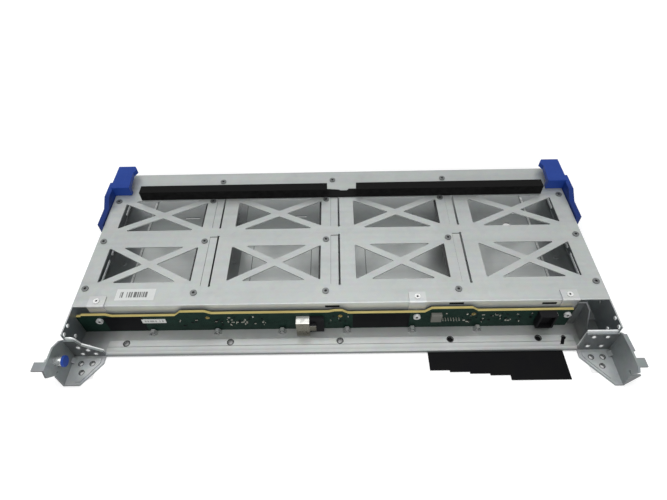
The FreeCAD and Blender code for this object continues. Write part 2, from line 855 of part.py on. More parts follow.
def make_clip_rivets():
    seat = top + d.sheet
    places = [(x, d.clip_rivet_row) for x in clip_places]
    tail = under - d.rivet_height
    body = make_rivets("clip_rivets", "XY", places, tail, seat, seat + d.rivet_height, d.rivet_head)
    add(body, "XY", tail, under, *[disc(x, y, d.rivet_head) for x, y in places])
    cut(body, "XY", seat - d.clip_bore_depth, seat + d.rivet_height,
        *[disc(x, y, d.clip_bore) for x, y in places])


def make_floor_rivets():
    # Flush with the underside, so that the cage stands on the sheet itself.
    seat = d.sheet * 2
    make_rivets("floor_rivets", "XY", floor_rivet_places(), 0, seat, seat + d.rivet_height, d.rivet_head)


def make_clip(label, x):
    body = new_body(label)
    clip_top = top + d.sheet
    side = d.clip_width / 2
    leg_end = top - d.clip_leg
    add(body, "YZ", -side, side, [
        (d.clip_reach, top), (d.clip_reach, clip_top), (-d.sheet, clip_top), (-d.sheet, leg_end),
        (0, leg_end), (0, top)])
    round_edges(body, d.clip_corner, along_x((-d.sheet, clip_top)))
    add(body, "XZ", board_rear, -d.sheet, disc(0, screw_z, d.boss_radius))
    cut(body, "XZ", board_rear, 0, disc(0, screw_z, d.screw_radius + d.screw_clearance))
    cut(body, "XY", top, clip_top, disc(0, d.clip_rivet_row, rivet_hole))
    place(body, x=x)


def make_board():
    body = new_body("backplane_board")
    left = d.board_left_inset - half
    right = half - d.board_right_inset
    foot = d.sheet
    plain = top - d.board_drop
    low = top - d.board_low_drop
    tab = left - d.board_tab
    tab_top = top - d.board_tab_drop
    outline = [(right, foot), (tab, foot), (tab, tab_top), (left, tab_top), (left, plain),
               (left + d.board_left_step, plain), (left + d.board_left_step + d.bump_slope, low)]
    # Each bump of the upper edge rises from the level before it and falls to the level after it.
    bumps = [
        (d.bump_left - half, d.bump_left_width, d.board_bump_drop, low, plain),
        (d.bump_middle, d.bump_middle_width, d.board_small_drop, plain, low),
        (d.bump_right, d.bump_right_width, d.board_bump_drop, low, top - d.board_right_drop)]
    for middle, width, drop, before, after in bumps:
        outline += [(middle - width / 2 - d.bump_slope, before), (middle - width / 2, top - drop),
                    (middle + width / 2, top - drop), (middle + width / 2 + d.bump_slope, after)]
    outline.append((right, top - d.board_right_drop))
    add(body, "XZ", board_front, board_rear, outline)
    holes = [disc(x, screw_z, d.screw_hole) for x in clip_places]
    row = screw_z + d.board_hole
    holes += [disc(slit_x + d.bay_pitch * number, row, d.board_hole) for number in range(DIVIDERS)]
    cut(body, "XZ", board_front, board_rear, *holes)


def make_board_screws():
    body = new_body("board_screws")
    head_front = board_front - d.screw_head_height
    heads = [disc(x, screw_z, d.screw_head) for x in clip_places]
    add(body, "XZ", head_front, board_front, *heads)
    add(body, "XZ", board_front, -d.screw_clearance, *[disc(x, screw_z, d.screw_radius) for x in clip_places])


def make_drive_connector(number):
    # Receptacle for one drive, with the slot that takes the drive's edge contacts.
    body = new_body(f"drive_connector_{number + 1}")
    side = d.socket_width / 2
    socket_rear = board_rear + d.socket_depth
    socket_top = d.socket_bottom + d.socket_height
    add(body, "XZ", board_rear, socket_rear, rect(-side, d.socket_bottom, side, socket_top))
    slot_bottom = d.socket_bottom + (d.socket_height - d.socket_slot) / 2
    slot_side = side - d.socket_wall
    cut(body, "XZ", socket_rear - d.socket_slot_depth, socket_rear,
        rect(-slot_side, slot_bottom, slot_side, slot_bottom + d.socket_slot))
    place(body, x=first_bay + d.socket_shift + d.bay_pitch * number)


def make_data_connector():
    shell = new_body("data_connector_shell")
    foot = d.sheet + d.connector_foot
    right = d.shell_left + d.shell_width
    front = board_front - d.shell_depth
    shell_top = foot + d.shell_height
    add(shell, "XZ", front, board_front, rect(d.shell_left, foot, right, shell_top))
    round_edges(shell, d.shell_round, along_x((front, shell_top)))

    housing = new_body("data_connector_housing")
    left = right + d.connector_gap
    housing_right = left + d.housing_width
    housing_top = foot + d.housing_height
    housing_front = board_front - d.housing_depth
    add(housing, "XZ", housing_front, board_front, rect(left, foot, housing_right, housing_top))
    latch_left = left + d.connector_gap
    add(housing, "XZ", housing_front - d.latch_depth, housing_front,
        rect(latch_left, foot + d.latch_width, latch_left + d.latch_width, housing_top - d.latch_width))


def make_header():
    body = new_body("header_connector")
    foot = d.sheet + d.header_foot
    right = d.header_left + d.header_width
    header_top = foot + d.header_height
    front = board_front - d.header_depth
    add(body, "XZ", front, board_front, rect(d.header_left, foot, right, header_top))
    round_edges(body, d.header_round, along_x((front, header_top)))
    pins = new_body("header_pins")
    row = foot + d.header_pin_rise
    first = right + d.header_pin_pitch / 2
    places = [first + d.header_pin_pitch * number for number in range(HEADER_PINS)]
    add(pins, "XZ", board_front - d.pin_length, board_front,
        *[rect(x, row, x + d.pin_size, row + d.pin_size) for x in places])


def make_power_connector():
    body = new_body("power_connector")
    left = half - d.power_inset
    right = left + d.power_width
    foot = d.sheet + d.power_foot
    power_top = foot + d.power_height
    front = board_front - d.power_depth
    add(body, "XZ", front, board_front, rect(left, foot, right, power_top))
    wall = d.power_wall
    cut(body, "XZ", front, board_front - wall, rect(left + wall, foot + wall, right - wall, power_top - wall))
    pins = new_body("power_pins")
    column = right + d.pin_pitch / 2
    places = [foot + d.pin_pitch * (number + 1) for number in range(POWER_PINS)]
    add(pins, "XZ", board_front - d.pin_length, board_front,
        *[rect(column, z, column + d.pin_size, z + d.pin_size) for z in places])


def make_film(label, left, width):
    body = new_body(label)
    foot = d.sheet + d.film_foot
    add(body, "XZ", board_front - d.film_thickness, board_front,
        rect(left, foot, left + width, foot + d.film_height))


def make_foam():
    strips = [
        ("foam_strip_left", d.foam_left_inset - half, d.foam_gap_left),
        ("foam_strip_right", d.foam_gap_right, half - d.foam_right_inset)]
    for label, left, right in strips:
        body = new_body(label)
        add(body, "XY", top, top + d.foam_height, rect(left, foam_front, right, foam_rear))
    # The thin bridge between the strips is torn away in the middle of its rear edge.
    bridge = new_body("foam_bridge")
    rear = foam_front + d.bridge_width
    torn = rear - d.bridge_tear
    tear_left = d.bridge_tear_left
    tear_right = tear_left + d.bridge_tear_width
    add(bridge, "XY", top, top + d.bridge_height, [
        (d.foam_gap_left, foam_front), (d.foam_gap_right, foam_front), (d.foam_gap_right, rear),
        (tear_right, rear), (tear_right - d.bridge_tear_slope, torn), (tear_left + d.bridge_tear_slope, torn),
        (tear_left, rear - d.bridge_tear / 2), (d.foam_gap_left, rear)])


def make_lever(label, side):
    # Moulded lever: an arm beside the cage, and a handle that hooks over the cover's rear corner.
    body = new_body(label)
    near = half + d.lever_gap
    far = near + d.arm_thickness
    tip = pivot_y - d.arm_tip
    knee_z = top + d.arm_lift
    crest = top + d.arm_rise
    heel = pivot_y + d.arm_heel
    shoulder = pivot_y + d.arm_shoulder
    add(body, "YZ", side * near, side * far, [
        (tip, d.pivot_height), (tip, knee_z), (pivot_y + d.arm_knee, knee_z), (shoulder, crest),
        (heel, crest), (heel, top), (shoulder, d.pivot_height + d.arm_lift), (pivot_y, d.pivot_height)])
    add(body, "YZ", side * near, side * far, disc(pivot_y, d.pivot_height, d.arm_boss))
    front = d.cover_depth - d.handle_front
    rear = d.cover_depth + d.handle_overhang
    handle_top = top + d.handle_rise
    outer = side * (half + d.handle_outer)
    inner = half - d.handle_inner
    hook_y = rear - d.handle_leg
    add(body, "XY", handle_top - d.handle_thickness, handle_top, [
        (outer, front), (outer, rear), (side * inner, rear), (side * (inner - d.notch_depth), hook_y),
        (side * inner, hook_y - d.notch_depth * 2), (side * (inner - d.notch_depth / 2), front)])
    leg_inner = side * (inner - d.notch_depth / 2)
    add(body, "XZ", front, front + d.handle_leg, rect(outer, top + d.handle_gap, leg_inner, handle_top))
    round_edges(body, d.handle_round, along_x((front, handle_top)))
    cut(body, "YZ", side * near, side * far, disc(pivot_y, d.pivot_height, d.pivot_radius))


def make_pivot(label, side):
    # Shoulder rivet: tail and shank in the wall, collar, journal in the lever and a head outside it.
    body = new_body(label)
    inner = half - d.sheet
    arm_near = half + d.lever_gap - d.pivot_clearance
    arm_far = half + d.lever_gap + d.arm_thickness + d.pivot_clearance
    shank = d.pivot_shank - d.pivot_clearance
    journal = d.pivot_radius - d.pivot_clearance
    stations = [(inner - d.pivot_tail_height, inner, d.pivot_collar), (inner, half, shank),
                (half, arm_near, d.pivot_collar), (arm_near, arm_far, journal),
                (arm_far, arm_far + d.pivot_head_height, d.pivot_collar)]
    revolve(body, stepped_profile(side, stations))
    place(body, y=pivot_y, z=d.pivot_height)


def stepped_profile(side, stations):
    # Half-section of a turned piece from its (start, end, radius) stations.
    profile = [(side * stations[0][0], 0)]
    for start, end, radius in stations:
        profile.append((side * start, radius))
        profile.append((side * end, radius))
    profile.append((side * stations[-1][1], 0))
    return profile


def bracket_rivet_places(side):
    near = side * (half - d.bracket_rivet_near)
    far = side * (half - d.bracket_rivet_far)
    if side == RIGHT:
        return [(x, z) for x in (near, far) for z in (d.bracket_rivet_low, d.bracket_rivet_high)]
    return [(near, d.slope_rivet_low), (far, d.slope_rivet_low), (far, d.slope_rivet_high),
            (d.slope_rivet_inset - half, d.slope_rivet_middle)]


def make_bracket(label, side, shape):
    # Folded bracket: a plate on the wall's front flange, a foot with three screw holes and a side wall.
    body = new_body(label)
    inner = side * bracket_inner
    outer = side * bracket_outer
    edge = side * (half - d.bracket_inset)
    front = bracket_front - shape.reach
    thick = d.bracket_sheet
    add(body, "XZ", bracket_front, bracket_rear, front_outline(side, outer, edge, 0, bracket_top))
    toe_x = side * (bracket_inner - shape.toe)
    corner = bracket_rear - d.bracket_corner
    add(body, "XY", 0, thick, [
        (outer, bracket_rear), (edge, bracket_rear), (edge, corner), (toe_x, front), (outer, front)])

    # Side wall with a forward lobe, and a relief notch between the lobe and the lower edge.
    shoulder = bracket_top + shape.shoulder
    crest = bracket_top + shape.crest
    lip_rear = bracket_rear - d.bracket_lip_start
    lip_front = bracket_rear - shape.crest_start
    tab_rear = bracket_rear - d.bracket_tab_start
    tab_front = tab_rear - d.bracket_tab_width
    notch_low = d.bracket_notch_height
    notch_high = notch_low + d.bracket_notch
    notch_end = front + d.bracket_notch_depth
    lobe = front - shape.lobe
    add(body, "YZ", inner, outer, [
        (bracket_rear, 0), (bracket_rear, bracket_top), (lip_rear, shoulder), (lip_front, crest),
        (tab_front, crest), (lobe, crest - shape.drop), (front, notch_high), (notch_end, notch_high),
        (notch_end, notch_low), (front, notch_low), (front, 0)])

    # The outward finger tab, and on the right a lip along the upper edge and a flare at the front.
    tab_x = side * (bracket_outer + shape.tab)
    add(body, "XY", crest - thick, crest, rect(outer, tab_front, tab_x, tab_rear))
    if side == RIGHT:
        add(body, "YZ", outer, outer + d.bracket_lip, [
            (lip_rear, shoulder), (lip_front, crest), (lip_front, crest - thick),
            (lip_rear, shoulder - thick)])
        flare_x = outer + d.bracket_flare
        add(body, "XZ", front, front + thick, [(outer, thick), (flare_x, notch_low), (outer, notch_low)])

    # Gusset pressed into the fold, and the raised plateau round the screw holes.
    gusset = bracket_front - d.gusset_start
    gusset_x = side * (bracket_inner - d.gusset_size)
    add(body, "XZ", gusset - d.gusset_length, gusset, [
        (inner, thick), (inner, thick + d.gusset_size), (gusset_x, thick)])
    low_x = edge + side * d.plateau_margin
    high_x = side * (bracket_inner - d.plateau_gap)
    back = bracket_front - d.plateau_margin
    fall = (front - corner) / (toe_x - edge)
    plateau = [(high_x, back), (low_x, back), (low_x, corner)]
    if side == LEFT:
        plateau += [(toe_x, front + d.plateau_margin), (high_x, front + d.plateau_margin)]
    else:
        plateau.append((high_x, corner + (high_x - edge) * fall + d.plateau_margin))
    add(body, "XY", thick, thick + d.plateau_height, plateau)
    hole_y = bracket_rear - d.bracket_hole_row
    hole_x = half - d.bracket_inset + d.bracket_hole_inset
    holes = [(hole_x, hole_y), (hole_x + d.bracket_hole_pitch, hole_y),
             (hole_x + d.bracket_hole_side, hole_y - d.bracket_hole_depth)]
    cut(body, "XY", 0, thick + d.plateau_height, *[disc(side * x, y, d.bracket_hole) for x, y in holes])
    rivets = [disc(x, z, rivet_hole) for x, z in bracket_rivet_places(side)]
    cut(body, "XZ", bracket_front, bracket_rear, *rivets)
    if side == LEFT:
        plunger = disc(bracket_rear - d.plunger_row, d.plunger_height, d.bushing_shank + d.plunger_clearance)
        cut(body, "YZ", inner, outer, plunger)


def make_bracket_rivets():
    places = bracket_rivet_places(LEFT) + bracket_rivet_places(RIGHT)
    body = new_body("bracket_rivets")
    inside = bracket_rear + d.sheet
    head_front = bracket_front - d.rivet_height
    add(body, "XZ", head_front, bracket_front, *[disc(x, z, d.rivet_head) for x, z in places])
    add(body, "XZ", bracket_front, inside, *[disc(x, z, d.rivet_radius) for x, z in places])
    add(body, "XZ", inside, inside + d.rivet_height, *[disc(x, z, d.rivet_head) for x, z in places])


def make_plunger():
    # The turned pieces lie along X, measured outward from the wall's inner face.
    wall = bracket_inner
    inside = wall - d.bushing_length
    outside = bracket_outer + d.bushing_nose
    spring_seat = inside + d.bushing_wall
    nose_seat = outside - d.bushing_wall
    stem_hole = d.stem_radius + d.plunger_clearance
    nose_hole = d.nose_radius + d.plunger_clearance
    bushing = new_body("plunger_bushing")
    revolve(bushing, [
        (-inside, stem_hole), (-inside, d.bushing_radius), (-wall, d.bushing_radius),
        (-wall, d.bushing_shank), (-outside, d.bushing_shank), (-outside, nose_hole),
        (-nose_seat, nose_hole), (-nose_seat, d.bushing_bore),
        (-spring_seat, d.bushing_bore), (-spring_seat, stem_hole)])
    collar_out = nose_seat - d.plunger_clearance
    collar_in = collar_out - d.pin_collar_length
    knob_out = inside - d.knob_gap
    knob_in = knob_out - d.knob_length
    stem_end = knob_in + d.knob_cap
    pin = new_body("plunger_pin")
    revolve(pin, stepped_profile(LEFT, [
        (stem_end, collar_in, d.stem_radius), (collar_in, collar_out, d.pin_collar),
        (collar_out, outside + d.nose_length, d.nose_radius)]))
    knob = new_body("plunger_knob")
    bore_end = stem_end - d.plunger_clearance
    revolve(knob, [
        (-knob_in, 0), (-knob_in, d.knob_radius), (-knob_out, d.knob_radius), (-knob_out, stem_hole),
        (-bore_end, stem_hole), (-bore_end, 0)])
    round_edges(knob, d.knob_round, lambda edge: abs(edge.BoundBox.XMax + knob_in.value) < 0.01
                and abs(edge.BoundBox.ZMax - d.knob_radius.value) < 0.01 and edge.BoundBox.XLength < 0.01)
    for body in (bushing, pin, knob):
        place(body, y=bracket_rear - d.plunger_row, z=d.plunger_height)
    make_spring(-(collar_in - d.plunger_clearance), -(spring_seat + d.plunger_clearance))


def make_spring(start, end):
    # Coil of square wire, lofted through sections set round the helix.
    sides = SPRING_TURNS * SPRING_STEPS
    wire = d.spring_wire.value / 2
    length = end.value - start.value - 2 * wire
    sections = []
    for number in range(sides + 1):
        turn = 2 * math.pi * number / SPRING_STEPS
        x = start.value + wire + length * number / sides
        corners = []
        for along, outward in ((-wire, -wire), (wire, -wire), (wire, wire), (-wire, wire)):
            radius = d.spring_radius.value + outward
            corners.append(FreeCAD.Vector(x + along, radius * math.cos(turn), radius * math.sin(turn)))
        sections.append(Part.makePolygon(corners + corners[:1]))
    spring = doc.addObject("Part::Feature", "plunger_spring")
    spring.Label = "plunger_spring"
    spring.Shape = Part.makeLoft(sections, True, True)
    row = (bracket_rear - d.plunger_row).value
    spring.Placement = FreeCAD.Placement(FreeCAD.Vector(0, row, d.plunger_height.value), FreeCAD.Rotation())


def make_flap():
    # Plastic sheet stuck under the ledge, led down below the lip and stepped along its front.
    body = new_body("air_flap")
    glue = d.ledge_step
    thick = d.flap_thickness
    rear = -d.flap_rear
    fold = -d.flap_fold
    low = fold - d.flap_drop
    front = -d.flap_front
    flap_right = half - d.flap_inset
    flap_left = flap_right - d.flap_width
    add(body, "YZ", flap_left, flap_right, [
        (rear, glue - thick), (fold, glue - thick), (low, 0), (front, 0), (front, thick), (low, thick),
        (fold, glue), (rear, glue)])
    for number in range(FLAP_STEPS):
        left = flap_left + d.flap_step_width * number
        edge = -d.flap_short - d.flap_step_depth * number
        cut(body, "XY", 0, thick, rect(left, front, left + d.flap_step_width, edge))


def build():
    make_top_cover()
    make_floor_pan()
    make_side_wall("left_side_wall", LEFT)
    make_side_wall("right_side_wall", RIGHT)
    for number in range(DIVIDERS):
        make_divider(number)
    make_cover_rivets()
    make_clip_rivets()
    make_floor_rivets()
    for label, x in zip(("board_clip_left", "board_clip_middle", "board_clip_right"), clip_places):
        make_clip(label, x)
    make_board()
    make_board_screws()
    for number in range(BAYS):
        make_drive_connector(number)
    make_data_connector()
    make_header()
    make_power_connector()
    make_film("board_film_left", d.film_left_inset - half, d.film_left_width)
    make_film("board_film_middle", d.film_middle, d.film_middle_width)
    make_foam()
    make_lever("latch_lever_left", LEFT)
    make_lever("latch_lever_right", RIGHT)
    make_pivot("lever_pivot_left", LEFT)
    make_pivot("lever_pivot_right", RIGHT)
    left_shape = SimpleNamespace(
        reach=d.bracket_reach_left, toe=d.bracket_toe_left, lobe=d.bracket_lobe_left,
        drop=d.bracket_drop_left, tab=d.bracket_tab_left, shoulder=d.bracket_shoulder_left,
        crest=d.bracket_crest_left, crest_start=d.bracket_crest_start_left)
    right_shape = SimpleNamespace(
        reach=d.bracket_reach_right, toe=d.bracket_toe_right, lobe=d.bracket_lobe_right,
        drop=d.bracket_drop_right, tab=d.bracket_tab_right, shoulder=d.bracket_shoulder_right,
        crest=d.bracket_crest_right, crest_start=d.bracket_crest_start_right)
    make_bracket("corner_bracket_left", LEFT, left_shape)
    make_bracket("corner_bracket_right", RIGHT, right_shape)
    make_bracket_rivets()
    make_plunger()
    make_flap()
    doc.recompute()


def write_parts():
    # Every object is sound before the first file is written.
    for item in doc.Objects:
        if "Invalid" in item.State or "Error" in item.State:
            raise RuntimeError(f"{item.Label} did not build: {item.State}")
    pieces = [item for item in doc.Objects if item.TypeId in ("PartDesign::Body", "Part::Feature")]
    for piece in pieces:
        if piece.Shape.isNull() or not piece.Shape.isValid():
            raise RuntimeError(f"{piece.Label} has no sound shape")
    os.makedirs("parts", exist_ok=True)
    for piece in pieces:
        piece.Shape.exportStep(f"parts/{piece.Label}.step")
    print(f"{len(pieces)} pieces written")


build()
write_parts()
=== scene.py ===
import math
import random

import bmesh
import bpy
from mathutils import Matrix, Vector


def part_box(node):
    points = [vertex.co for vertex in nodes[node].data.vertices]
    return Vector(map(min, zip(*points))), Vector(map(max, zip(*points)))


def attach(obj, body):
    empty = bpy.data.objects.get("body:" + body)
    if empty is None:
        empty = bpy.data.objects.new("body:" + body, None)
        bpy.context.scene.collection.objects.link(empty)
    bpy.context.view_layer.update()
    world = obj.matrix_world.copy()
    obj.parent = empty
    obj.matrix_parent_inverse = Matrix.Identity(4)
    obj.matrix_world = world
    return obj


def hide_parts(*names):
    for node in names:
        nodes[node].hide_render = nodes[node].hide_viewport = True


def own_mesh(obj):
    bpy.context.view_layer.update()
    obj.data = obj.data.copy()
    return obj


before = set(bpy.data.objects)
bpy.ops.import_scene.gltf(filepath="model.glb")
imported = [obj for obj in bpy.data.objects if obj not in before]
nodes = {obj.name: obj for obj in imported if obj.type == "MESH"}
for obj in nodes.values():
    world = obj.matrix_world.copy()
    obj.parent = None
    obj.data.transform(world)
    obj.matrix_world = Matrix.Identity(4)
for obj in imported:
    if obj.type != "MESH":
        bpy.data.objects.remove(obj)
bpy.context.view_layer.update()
mm = 0.001
alongX, alongY, alongZ = Vector((1, 0, 0)), Vector((0, 1, 0)), Vector((0, 0, 1))


# shader helpers

mixSockets = {"factor": 0, "first": 6, "second": 7, "result": 2}  # the colour sockets of a Mix node
noiseRange = (0.3, 0.7)  # most of a noise lies between these
squareOn = (0.6, 0.9)  # how squarely a face looks along an axis before it counts


def newMaterial(name):
    mat = bpy.data.materials.new(name)
    mat.use_nodes = True
    tree = mat.node_tree
    tree.nodes.clear()
    out = tree.nodes.new("ShaderNodeOutputMaterial")
    bsdf = tree.nodes.new("ShaderNodeBsdfPrincipled")
    tree.links.new(bsdf.outputs["BSDF"], out.inputs["Surface"])
    return mat, tree, bsdf


def place(tree, scale=(1, 1, 1), turn=(0, 0, 0)):
    # object coordinates are metres in the frame of the part
    coord = tree.nodes.new("ShaderNodeTexCoord")
    mapping = tree.nodes.new("ShaderNodeMapping")
    mapping.inputs["Scale"].default_value = scale
    mapping.inputs["Rotation"].default_value = turn
    tree.links.new(coord.outputs["Object"], mapping.inputs["Vector"])
    return mapping.outputs["Vector"]


def splitUp(tree, vector):
    node = tree.nodes.new("ShaderNodeSeparateXYZ")
    tree.links.new(vector, node.inputs["Vector"])
    return node.outputs


def noise(tree, vector, scale, detail=4.0, rough=0.55):
    node = tree.nodes.new("ShaderNodeTexNoise")
    node.inputs["Scale"].default_value = scale
    node.inputs["Detail"].default_value = detail
    node.inputs["Roughness"].default_value = rough
    tree.links.new(vector, node.inputs["Vector"])
    return node.outputs["Fac"]


def cells(tree, vector, scale, output="Color"):
    node = tree.nodes.new("ShaderNodeTexVoronoi")
    node.inputs["Scale"].default_value = scale
    tree.links.new(vector, node.inputs["Vector"])
    return node.outputs[output]


def spread(tree, value, low, high, start=0.0, end=1.0):
    node = tree.nodes.new("ShaderNodeMapRange")
    node.inputs["From Min"].default_value = low
    node.inputs["From Max"].default_value = high
    node.inputs["To Min"].default_value = start
    node.inputs["To Max"].default_value = end
    tree.links.new(value, node.inputs["Value"])
    return node.outputs["Result"]


def sums(tree, kind, a, b=0):
    node = tree.nodes.new("ShaderNodeMath")
    node.operation = kind
    for socket, value in zip(node.inputs, (a, b)):
        if isinstance(value, (int, float)):
            socket.default_value = value
        else:
            tree.links.new(value, socket)
    return node.outputs["Value"]


def between(tree, value, low, high):
    # 1 between the two limits, 0 outside them
    above = sums(tree, "GREATER_THAN", value, low)
    return sums(tree, "MULTIPLY", above, sums(tree, "LESS_THAN", value, high))


def tint(tree, factor, a, b, kind="MIX"):
    node = tree.nodes.new("ShaderNodeMix")
    node.data_type = "RGBA"
    node.blend_type = kind
    blend = node.inputs[mixSockets["factor"]]
    if isinstance(factor, (int, float)):
        blend.default_value = factor
    else:
        tree.links.new(factor, blend)
    for key, value in (("first", a), ("second", b)):
        socket = node.inputs[mixSockets[key]]
        if isinstance(value, tuple):
            socket.default_value = (*value, 1)
        else:
            tree.links.new(value, socket)
    return node.outputs[mixSockets["result"]]


def relief(tree, height, strength, depth):
    node = tree.nodes.new("ShaderNodeBump")
    node.inputs["Strength"].default_value = strength
    node.inputs["Distance"].default_value = depth
    tree.links.new(height, node.inputs["Height"])
    return node.outputs["Normal"]


def facing(tree, axis, limits=squareOn):
    # 1 where the surface looks along an axis of the part, either way
    geometry = tree.nodes.new("ShaderNodeNewGeometry")
    normal = splitUp(tree, geometry.outputs["Normal"])
    return spread(tree, sums(tree, "ABSOLUTE", normal[axis]), *limits)


def darker(colour, tone):
    return tuple(part * tone for part in colour)


# finishes

sheetTexture = {"streak": {"scale": 1.0, "detail": 5.0, "rough": 0.6},
                "fine": {"scale": 3.0, "detail": 4.0, "rough": 0.7},
                "cloud": {"scale": 14.0, "detail": 3.0}, "cloudTone": (0.94, 1.05),
                "smudge": {"scale": 38.0, "detail": 5.0, "rough": 0.65}, "smudgeFrom": (0.52, 0.72),
                "smudgeTone": 0.8, "smudgeRough": 0.08, "depth": 0.0002}


def sheetFinish(name, look):
    # zinc sheet: rolling streaks, faint spangle, handling smudges, and painted light and shade where the look
    # gives them
    mat, tree, bsdf = newMaterial(name)
    streak = noise(tree, place(tree, look["streak"]), **sheetTexture["streak"])
    flake = cells(tree, place(tree), look["flake"])
    cloud = noise(tree, place(tree), **sheetTexture["cloud"])
    smudge = spread(tree, noise(tree, place(tree), **sheetTexture["smudge"]), *sheetTexture["smudgeFrom"])
    grain = spread(tree, streak, *noiseRange, 1 - look["grain"], 1 + look["grain"])
    patch = spread(tree, cloud, *noiseRange, *sheetTexture["cloudTone"])
    shade = sums(tree, "MULTIPLY", grain, patch)
    clean = look["colour"]
    spot = splitUp(tree, place(tree))
    across = sums(tree, "ABSOLUTE", spot["X"])
    # painted shade: darker towards the ends of the part, under the overhang of the cover
    if "ends" in look:
        clean = tint(tree, spread(tree, across, *look["endsFrom"]), clean, look["ends"])
    for band, start, end in look.get("paintedLightBands", ()):
        # painted light and shade along y: painted light on the floor under the windows, painted shade towards
        # its open rear and on the lip
        clean = tint(tree, spread(tree, spot["Y"], start, end), clean, band)
    # painted light and shade: another tone on faces that look along y, lighter on the cover's apron, darker
    # on the pan and the brackets
    if "front" in look:
        clean = tint(tree, facing(tree, "Y"), clean, look["front"])
    if "flat" in look:
        # painted light and shade: another tone on what lies flat, coming in between two heights, lighter on
        # the walls and the brackets' feet, darker on the dividers' feet
        level = sums(tree, "MULTIPLY", facing(tree, "Z"), spread(tree, spot["Z"], *look["flatHeights"]))
        clean = tint(tree, level, clean, look["flat"])
    if "dotHighlight" in look:
        # painted highlights on the pressed dots, which stand proud of the cheeks
        proud = spread(tree, across, *look["dotHighlightFrom"])
        ahead = spread(tree, spot["Y"], *look["dotHighlightRow"])
        clean = tint(tree, sums(tree, "MULTIPLY", proud, ahead), clean, look["dotHighlight"])
    if "raised" in look:
        # painted shade high up, on the ears of the pan and on what lies under the cover
        clean = tint(tree, spread(tree, spot["Z"], *look["raisedFrom"]), clean, look["raised"])
    grimy = darker(look["colour"], sheetTexture["smudgeTone"])
    body = tint(tree, sums(tree, "MULTIPLY", smudge, look["smudge"]), clean, grimy)
    spangle = tint(tree, look["spangle"], body, flake, "SOFT_LIGHT")
    final = tint(tree, 1.0, spangle, shade, "MULTIPLY")
    tree.links.new(final, bsdf.inputs["Base Color"])
    rolled = spread(tree, streak, *noiseRange, *look["rough"])
    rough = sums(tree, "ADD", rolled, sums(tree, "MULTIPLY", smudge, sheetTexture["smudgeRough"]))
    tree.links.new(rough, bsdf.inputs["Roughness"])
    bsdf.inputs["Metallic"].default_value = look["metal"]
    fine = noise(tree, place(tree, look["streak"]), **sheetTexture["fine"])
    tree.links.new(relief(tree, fine, look["bump"], sheetTexture["depth"]), bsdf.inputs["Normal"])
    return mat


turnedTexture = {"wear": {"scale": 420.0, "detail": 5.0, "rough": 0.65}, "wearFrom": (0.35, 0.65),
                 "wornTone": 0.6, "bump": 0.12, "depth": 0.0002}


def turnedFinish(name, look):
    # plated fasteners and turned pieces, with painted shade in the dimple and round the base of the head
    # where one is given
    mat, tree, bsdf = newMaterial(name)
    wear = noise(tree, place(tree), **turnedTexture["wear"])
    worn = darker(look["colour"], turnedTexture["wornTone"])
    colour = tint(tree, spread(tree, wear, *turnedTexture["wearFrom"]), worn, look["colour"])
    # painted shade: dark below a height, in the dimple and round the base of the head
    if "dimple" in look:
        spot = splitUp(tree, place(tree))
        colour = tint(tree, spread(tree, spot["Z"], *look["dimple"]), look["pitShade"], colour)
    # painted shade: a darker tone on faces that look along y
    if "front" in look:
        colour = tint(tree, facing(tree, "Y"), colour, look["front"])
    tree.links.new(colour, bsdf.inputs["Base Color"])
    smooth, dull = look["rough"]
    tree.links.new(spread(tree, wear, *noiseRange, dull, smooth), bsdf.inputs["Roughness"])
    bsdf.inputs["Metallic"].default_value = look["metal"]
    dents = relief(tree, wear, turnedTexture["bump"], turnedTexture["depth"])
    tree.links.new(dents, bsdf.inputs["Normal"])
    return mat


mouldedTexture = {"patch": {"scale": 60.0, "detail": 4.0}, "patchFrom": (0.35, 0.7),
                  "scuff": {"scale": 1.0, "detail": 6.0, "rough": 0.7}, "scuffAlong": (900, 60, 900),
                  "scuffFrom": (0.6, 0.74), "fine": {"detail": 4.0, "rough": 0.6}, "depth": 0.0003}


def mouldedFinish(name, look):
    # moulded plastic: fine texture, rubbed patches, scuffs along one way, and painted shade on the lever arms
    # where given
    mat, tree, bsdf = newMaterial(name)
    fine = noise(tree, place(tree), look["texture"], **mouldedTexture["fine"])
    patch = noise(tree, place(tree), **mouldedTexture["patch"])
    scratches = noise(tree, place(tree, mouldedTexture["scuffAlong"]), **mouldedTexture["scuff"])
    scuff = spread(tree, scratches, *mouldedTexture["scuffFrom"])
    worn = tint(tree, spread(tree, patch, *mouldedTexture["patchFrom"]), look["colour"], look["rubbed"])
    if "arm" in look:
        # painted shade on the lever arms, ahead of the handle
        spot = splitUp(tree, place(tree))
        worn = tint(tree, spread(tree, spot["Y"], *look["armTo"]), look["arm"], worn)
    colour = tint(tree, sums(tree, "MULTIPLY", scuff, look["scuff"]), worn, look["scuffed"])
    tree.links.new(colour, bsdf.inputs["Base Color"])
    tree.links.new(spread(tree, patch, *noiseRange, *look["rough"]), bsdf.inputs["Roughness"])
    bsdf.inputs["Specular IOR Level"].default_value = look["gloss"]
    tree.links.new(relief(tree, fine, look["bump"], mouldedTexture["depth"]), bsdf.inputs["Normal"])
    return mat


def foamFinish(name, look):
    # closed-cell foam: small cells, a little dust on what faces up
    mat, tree, bsdf = newMaterial(name)
    cell = cells(tree, place(tree), look["cell"], "Distance")
    specks = noise(tree, place(tree), **look["specks"])
    colour = tint(tree, spread(tree, specks, *look["specksFrom"]), look["colour"], look["dust"])
    upward = sums(tree, "MULTIPLY", facing(tree, "Z", look["upward"]), look["upwardDust"])
    tree.links.new(tint(tree, upward, colour, look["dust"]), bsdf.inputs["Base Color"])
    tree.links.new(spread(tree, specks, *noiseRange, *look["rough"]), bsdf.inputs["Roughness"])
    bsdf.inputs["Specular IOR Level"].default_value = look["gloss"]
    tree.links.new(relief(tree, cell, look["bump"], look["depth"]), bsdf.inputs["Normal"])
    return mat


